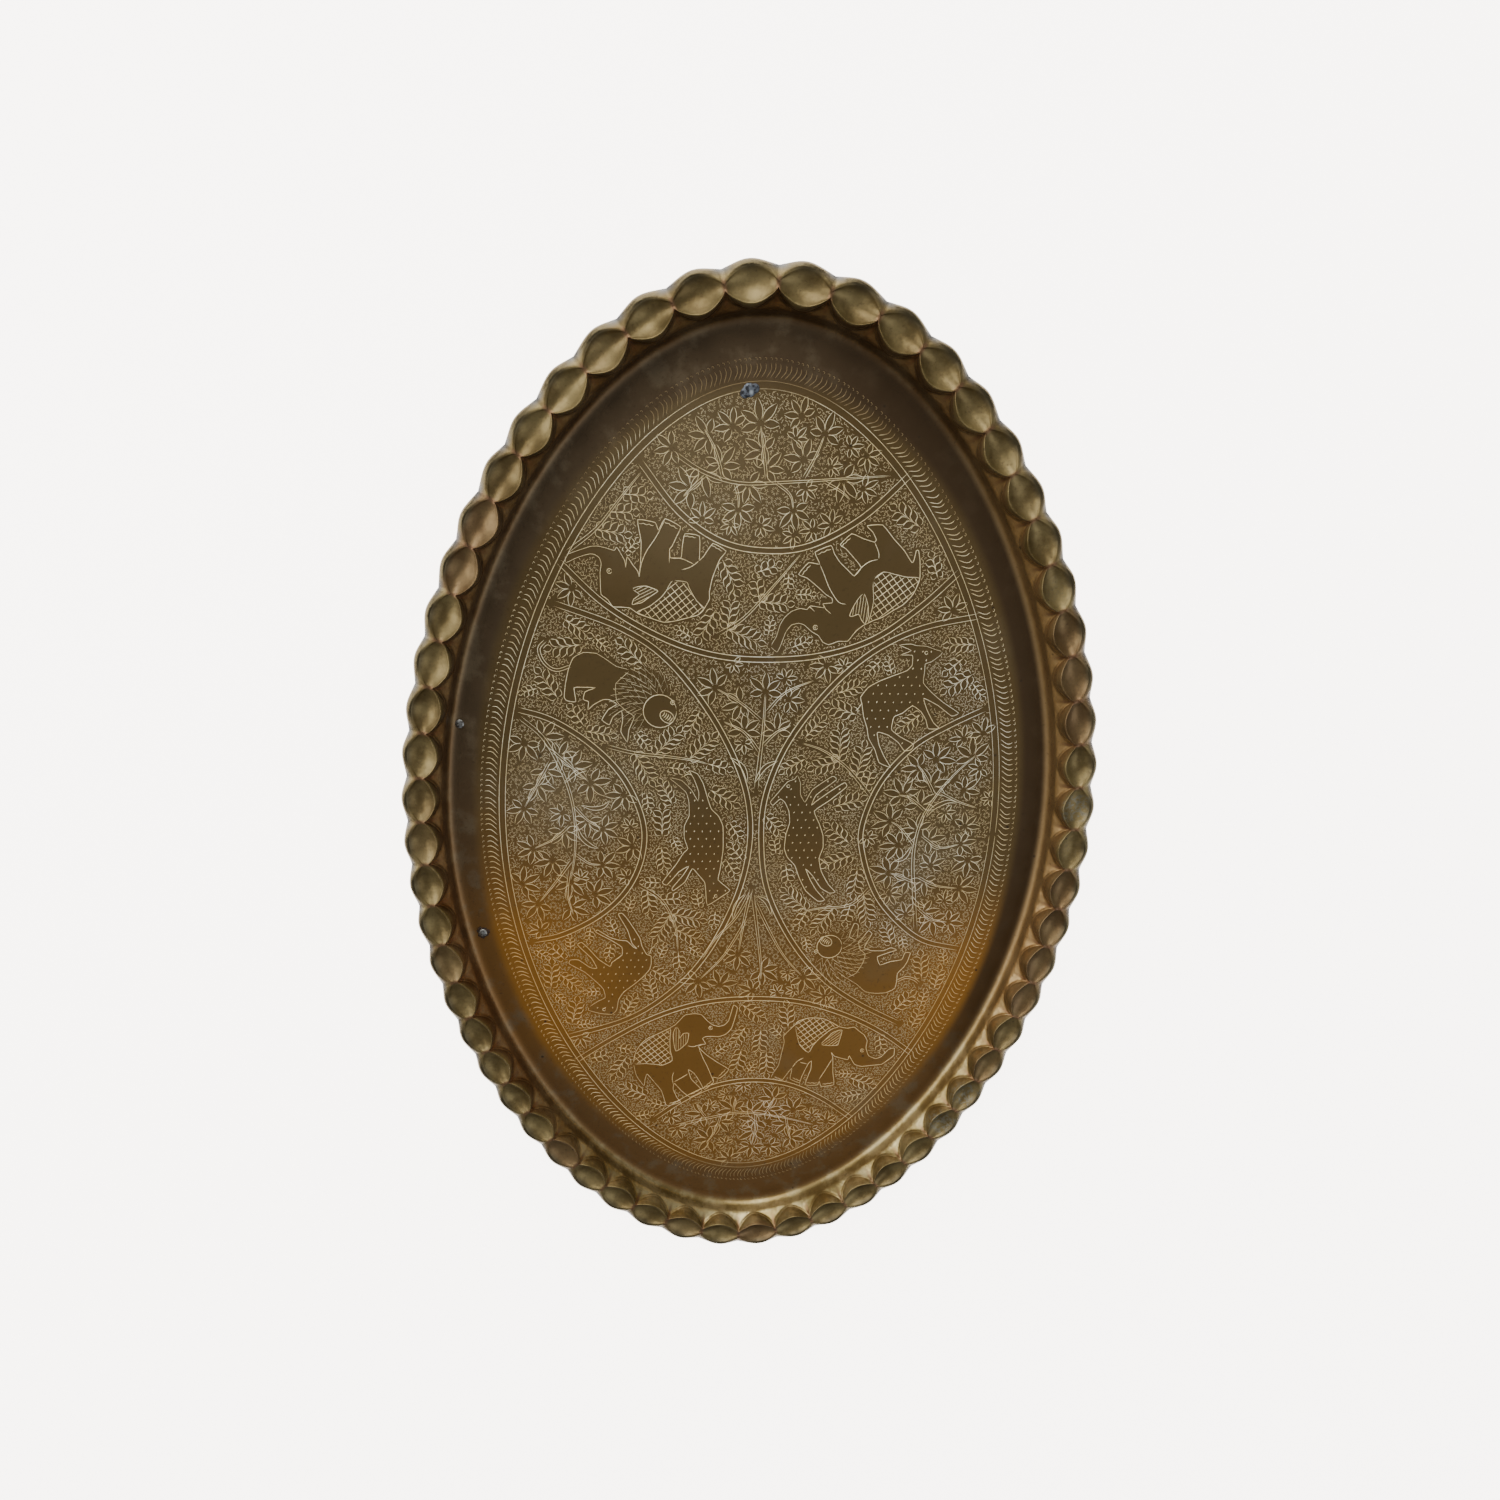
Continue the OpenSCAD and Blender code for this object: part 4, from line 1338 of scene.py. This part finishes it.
def inside_shape(points, outline):
    """Which points lie inside a closed outline."""
    p = np.asarray(outline)
    x, y = np.asarray(points, float).T
    held = np.zeros(len(x), bool)
    for (x0, y0), (x1, y1) in zip(p, np.roll(p, -1, 0)):
        if y0 != y1:
            held ^= ((y0 > y) != (y1 > y)) & (x < (x1 - x0) * (y - y0) / (y1 - y0) + x0)
    return held


def dots_inside(lines, outline, pitch, size):
    """Small slanting marks that fill a shape in rows."""
    p = np.asarray(outline)
    low, high = p.min(0), p.max(0)
    x, y = np.meshgrid(np.arange(low[0], high[0], pitch), np.arange(low[1], high[1], pitch))
    x = x + np.where(np.arange(len(x)) % 2, pitch / 2, 0)[:, None]
    spots = np.stack([x.ravel(), y.ravel()], -1)
    held = inside_shape(spots, p)
    for angle in np.arange(0, TURN, TURN / 6):
        held &= inside_shape(spots + 1.3 * np.array([math.cos(angle), math.sin(angle)]), p)
    mark = np.array([[-1, -0.5], [-0.3, 0.1], [0.3, 0.2], [1, 0.6]]) * size
    for spot in spots[held]:
        lines.line(turned(mark, chance.uniform(20, 80), spot), 0.62)


def toes_of(lines, toe, heel, middle):
    """The row of toes just inside a foot."""
    toe, heel = np.array(toe, float), np.array(heel, float)
    share = np.linspace(0.04, 0.96, 13)
    inwards = (middle - (toe + heel) / 2) / np.linalg.norm(middle - (toe + heel) / 2)
    depth = 1.2 + 0.55 * np.abs(np.sin(share * math.pi * 3))
    lines.line(toe + (heel - toe) * share[:, None] + inwards * depth[:, None], 0.4)


def hatch_inside(lines, outline):
    """Close lines along an ear."""
    p = np.asarray(outline)
    _, _, ways = np.linalg.svd(p - p.mean(0))
    turn = math.degrees(math.atan2(ways[0][1], ways[0][0]))
    lattice_inside(lines, outline, 1.5, (turn,), 0.3)


def lattice_inside(lines, outline, pitch=3.0, turns=(38, -50), width=0.42):
    """Crossed lines that fill a saddle cloth."""
    p = np.asarray(outline)
    middle = p.mean(0)
    reach = np.linalg.norm(p - middle, axis=1).max()
    for turn in turns:
        for offset in np.arange(-reach, reach, pitch):
            s = np.linspace(-reach, reach, 60)
            path = turned(np.stack([s, np.full(60, offset)], -1), turn, middle)
            held = inside_shape(path, p)
            for run in np.split(np.arange(60), np.flatnonzero(np.diff(held.astype(int))) + 1):
                if held[run[0]] and len(run) > 3:
                    lines.line(path[run], width)


def ring_line(lines, x, y, radius, width=0.5, stretch=1.0, turn=0, size=12):
    a = np.linspace(0, TURN * 1.02, size)
    ring = np.stack([radius * np.cos(a), radius * stretch * np.sin(a)], -1)
    lines.line(turned(ring, turn, (x, y)), width)


def engrave_eye(lines, x, y):
    ring_line(lines, x, y, 1.2, DETAIL_LINE)
    ring_line(lines, x, y, 0.4, DETAIL_LINE, size=6)


def engrave_elephants(lines):
    for beast in ELEPHANTS:
        outline = outline_of(lines, beast["outline"])
        cloth = outline_of(lines, beast["cloth"], slack=0.35)
        lattice_inside(lines, cloth)
        for points in beast["folds"]:
            lines.line(curve(points), 0.44)
        for toe, heel in beast["feet"]:
            toes_of(lines, toe, heel, outline.mean(0))
        ear = outline_of(lines, beast["ear"], slack=0.3)
        hatch_inside(lines, ear)
        engrave_eye(lines, *beast["eye"])
        take_shape(outline)
        take_line(outline, 0.8)


def engrave_deer(lines):
    for beast in DEER:
        outline = outline_of(lines, beast["outline"])
        ring_line(lines, *beast["eye"], 0.85, DETAIL_LINE)
        lines.line(curve(beast["tail"]), 0.5)
        dots_inside(lines, outline, 4.6, 0.62)
        take_shape(outline)
        take_line(outline, 0.8)


def engrave_lions(lines):
    for beast in LIONS:
        x, y, radius = beast["head"]
        for part in beast["body"]:
            run = outline_of(lines, part)
            take_line(run, 0.9)
            take_shape(run)
        tail = curve(beast["tail"])
        take_line(tail, 1.4)
        for gap in (-0.7, 0.7):
            lines.line(beside(tail, gap), DETAIL_LINE)
        engrave_mane(lines, x, y, radius, *beast["mane"])
        ring_line(lines, x, y, radius, 0.5, size=24)
        engrave_face(lines, beast)
        a = np.linspace(0, TURN, 30)
        take_shape(np.stack([x + (radius + 0.9) * np.cos(a), y + (radius + 0.9) * np.sin(a)], -1))


def engrave_face(lines, beast):
    """A lion's open mouth with its teeth, and its eye."""
    x, y, reach, turn = beast["mouth"]
    ring_line(lines, x, y, reach, 0.5, 0.72, turn, 18)
    for k in (-0.6, -0.3, 0, 0.3, 0.6):
        tall = 0.72 * math.sqrt(1 - k * k) * 0.8
        low, high = k - 0.08, k + 0.06
        tooth = np.array([[low, -tall], [high, -tall / 3], [high, tall / 3], [low, tall]]) * reach
        lines.line(turned(tooth, turn, (x, y)), 0.5)
    engrave_eye(lines, *beast["eye"])


def engrave_mane(lines, x, y, radius, first, last):
    """Rows of sharp locks that stand away from the head, fewer the further out."""
    for row in range(5):
        gap = 0.9 + 3.2 * row
        shrink = 10 * row
        teeth = int(math.radians(last - first - 2 * shrink) * (radius + gap) / 3.0)
        angles = np.radians(np.linspace(first + shrink, last - shrink, 2 * teeth + 1))
        far = np.where(np.arange(2 * teeth + 1) % 2, gap + 4.9, gap)
        lean = np.where(np.arange(2 * teeth + 1) % 2, 0.05, 0)
        away, angles = radius + far, angles + lean
        lock = np.stack([x + away * np.cos(angles), y + away * np.sin(angles)], -1)
        lines.line(lock, DETAIL_LINE)
    angles = np.radians(np.linspace(first, last, 24))
    away = radius + 1 + 17 * np.sin(np.linspace(0.04, 0.96, 24) * math.pi)
    rim = np.stack([x + away * np.cos(angles), y + away * np.sin(angles)], -1)
    take_shape(np.concatenate([[(x, y)], rim]))


# ---------------------------------------------------------------- the old repairs

def round_about(x, y, reach, angle, z):
    """Points at a reach and an angle from a place on the tray, in metres."""
    return np.stack([x + reach * np.cos(angle), y + reach * np.sin(angle), z], -1) * MM


def make_rivet(name, x, y, top):
    """A round head that is domed as high as its top."""
    bpy.ops.object.select_all(action="DESELECT")
    bpy.ops.mesh.primitive_uv_sphere_add(segments=28, ring_count=14, radius=1)
    rivet = name_piece(name)
    p = coordinates(rivet.data)
    flat = np.clip((p[:, 2] + 1) / 2, 0, 1)
    radius = np.hypot(p[:, 0], p[:, 1])
    z = SHEET - 0.5 + (top - SHEET + 0.5) * flat ** 0.8
    spread = RIVET_R * np.minimum(1, radius * 1.06)
    angle = np.arctan2(p[:, 1], p[:, 0])
    set_coordinates(rivet.data, round_about(x, y, spread, angle, z))
    return rivet


def make_corrosion(name, x, y, radius):
    """The crusty ring that has grown round the bright rivet."""
    bpy.ops.object.select_all(action="DESELECT")
    bpy.ops.mesh.primitive_torus_add(major_segments=48, minor_segments=12,
                                     major_radius=1, minor_radius=0.3)
    ring = name_piece(name)
    p = coordinates(ring.data)
    angle = np.arctan2(p[:, 1], p[:, 0])
    ragged = 1 + 0.12 * np.sin(3 * angle + 1) + 0.07 * np.sin(7 * angle)
    ragged = ragged + 0.05 * np.sin(13 * angle + 2)
    reach = np.hypot(p[:, 0], p[:, 1]) * radius * ragged
    z = SHEET + 0.2 + 1.3 * p[:, 2] + 0.06 * np.sin(11 * angle)
    set_coordinates(ring.data, round_about(x, y, reach, angle, z))
    return ring


def make_solder():
    """Three lumps that ran together, smoothed where they meet."""
    lumps = [(0, 0, 3.2, 0.9), (2.8, 0.8, 2.2, 0.6), (-2.2, -1.4, 2.3, 0.7)]
    bpy.ops.object.select_all(action="DESELECT")
    bpy.ops.mesh.primitive_uv_sphere_add(segments=48, ring_count=24, radius=1)
    piece = name_piece("solder_lump")
    p = coordinates(piece.data)
    angle = np.arctan2(p[:, 1], p[:, 0])
    reach = np.zeros(len(p))
    for x, y, radius, _ in lumps:
        away = math.hypot(x, y)
        gap = angle - math.atan2(y, x)
        side = away * np.sin(gap)
        half_chord = np.sqrt(np.maximum(radius ** 2 - side ** 2, 0)) * (np.abs(side) < radius)
        reach = np.maximum(reach, away * np.cos(gap) + half_chord)
    flat = np.hypot(p[:, 0], p[:, 1])
    x, y = reach * flat * np.cos(angle), reach * flat * np.sin(angle)
    swell = np.zeros(len(p))
    for lx, ly, radius, height in lumps:
        gone = ((x - lx) ** 2 + (y - ly) ** 2) / (radius * 1.1) ** 2
        swell = np.maximum(swell, height * np.clip(1 - gone, 0, 1) ** 0.5)
    top = SHEET - 0.02 + swell * np.clip(p[:, 2] * 3, 0, 1) ** 0.3
    z = np.where(p[:, 2] > -0.02, top, SHEET - 0.4)
    place = np.stack([x + SOLDER_AT[0], y + SOLDER_AT[1], z], -1)
    set_coordinates(piece.data, place * MM)
    return piece


# ---------------------------------------------------------------- light, floor and camera

WINDOW_WHITE = (1.0, 0.985, 0.95)
SKY_WHITE = (0.9, 0.95, 1.0)


def make_light(name, spot, size, watts, colour):
    """A flat light that looks at the middle of the tray."""
    bpy.ops.object.light_add(type="AREA", location=spot)
    light = bpy.context.object
    light.name = name
    light.data.shape = "RECTANGLE"
    light.data.size, light.data.size_y = size
    light.data.energy = watts
    light.data.color = colour
    away = Matrix.Identity(3)
    gap = np.array(spot) / np.linalg.norm(spot)
    side = np.cross((0, 1, 0) if abs(gap[1]) < 0.9 else (1, 0, 0), gap)
    side /= np.linalg.norm(side)
    up = np.cross(gap, side)
    for k in range(3):
        away[k] = (side[k], up[k], gap[k])
    light.rotation_euler = away.to_euler()


def make_stage():
    bpy.ops.object.select_all(action="DESELECT")
    bpy.ops.mesh.primitive_plane_add(size=8)
    ground = name_piece("pale_ground")
    ground.data.materials.append(pale_floor())

    world = bpy.data.worlds.new("pale_room")
    bpy.context.scene.world = world
    world.use_nodes = True
    background = world.node_tree.nodes["Background"]
    background.inputs["Color"].default_value = (0.93, 0.965, 1.0, 1)
    background.inputs["Strength"].default_value = 0.3
    make_light("window_back", (-0.3, 1.7, 0.75), (2.4, 1.1), 55, WINDOW_WHITE)
    make_light("window_left", (-1.7, 0.35, 0.8), (1.8, 1.1), 34, WINDOW_WHITE)
    make_light("sky_fill", (1.3, -0.6, 1.0), (1.6, 1.0), 9, SKY_WHITE)


def make_camera():
    """Above the tray and a little behind its middle, looking down and towards its front."""
    yaw, pitch, roll = 0.0761, 0.4093, -0.0237
    turn = Matrix.Rotation(roll, 3, "Z") @ Matrix.Rotation(pitch, 3, "X") @ Matrix.Rotation(yaw, 3, "Y")
    bpy.ops.object.camera_add(location=(-0.0537, 0.2037, 0.5625))
    camera = bpy.context.object
    camera.name = "camera"
    camera.rotation_euler = turn.transposed().to_euler()
    camera.data.sensor_width = 36
    camera.data.lens = 25.08
    camera.data.shift_x = 0.0125
    camera.data.shift_y = 0.10
    bpy.context.scene.camera = camera


# ---------------------------------------------------------------- everything together

sheet = make_sheet()
add_rim_places(sheet)
only(sheet)
bpy.ops.object.shade_smooth()
dress(sheet, aged_brass(), "tray_sheet")

polish = line_polish()
rings = Engraving("border_rings")
engrave_rings(rings)
take_outside()
arcs = Engraving("field_arcs")
engrave_arcs(arcs)
animals = Engraving("animals")
engrave_elephants(animals)
engrave_deer(animals)
engrave_lions(animals)
leaves = Engraving("leaves_and_stems")
engrave_leaves(leaves)
GROUND_PARTS = ("front", "front_middle", "middle", "back_middle", "back")
ground = [Engraving(f"ground_{place}", 1.0) for place in GROUND_PARTS]
engrave_ground(ground)
for engraving in (rings, arcs, animals, leaves, *ground):
    dress(engraving.build(), polish)

metal = rivet_metal()
dress(make_rivet("rivet_front", *RIVET_FRONT, 2.65), metal, "floor_rivets")
dress(make_rivet("rivet_back", *RIVET_BACK, 2.45), metal, "floor_rivets")
crust = make_corrosion("rivet_front_crust", *RIVET_FRONT, 2.7)
dress(crust, rivet_corrosion(), "floor_rivets")
lump = make_solder()
only(lump)
bpy.ops.object.shade_smooth()
dress(lump, solder(), "solder_plug")

make_stage()
make_camera()
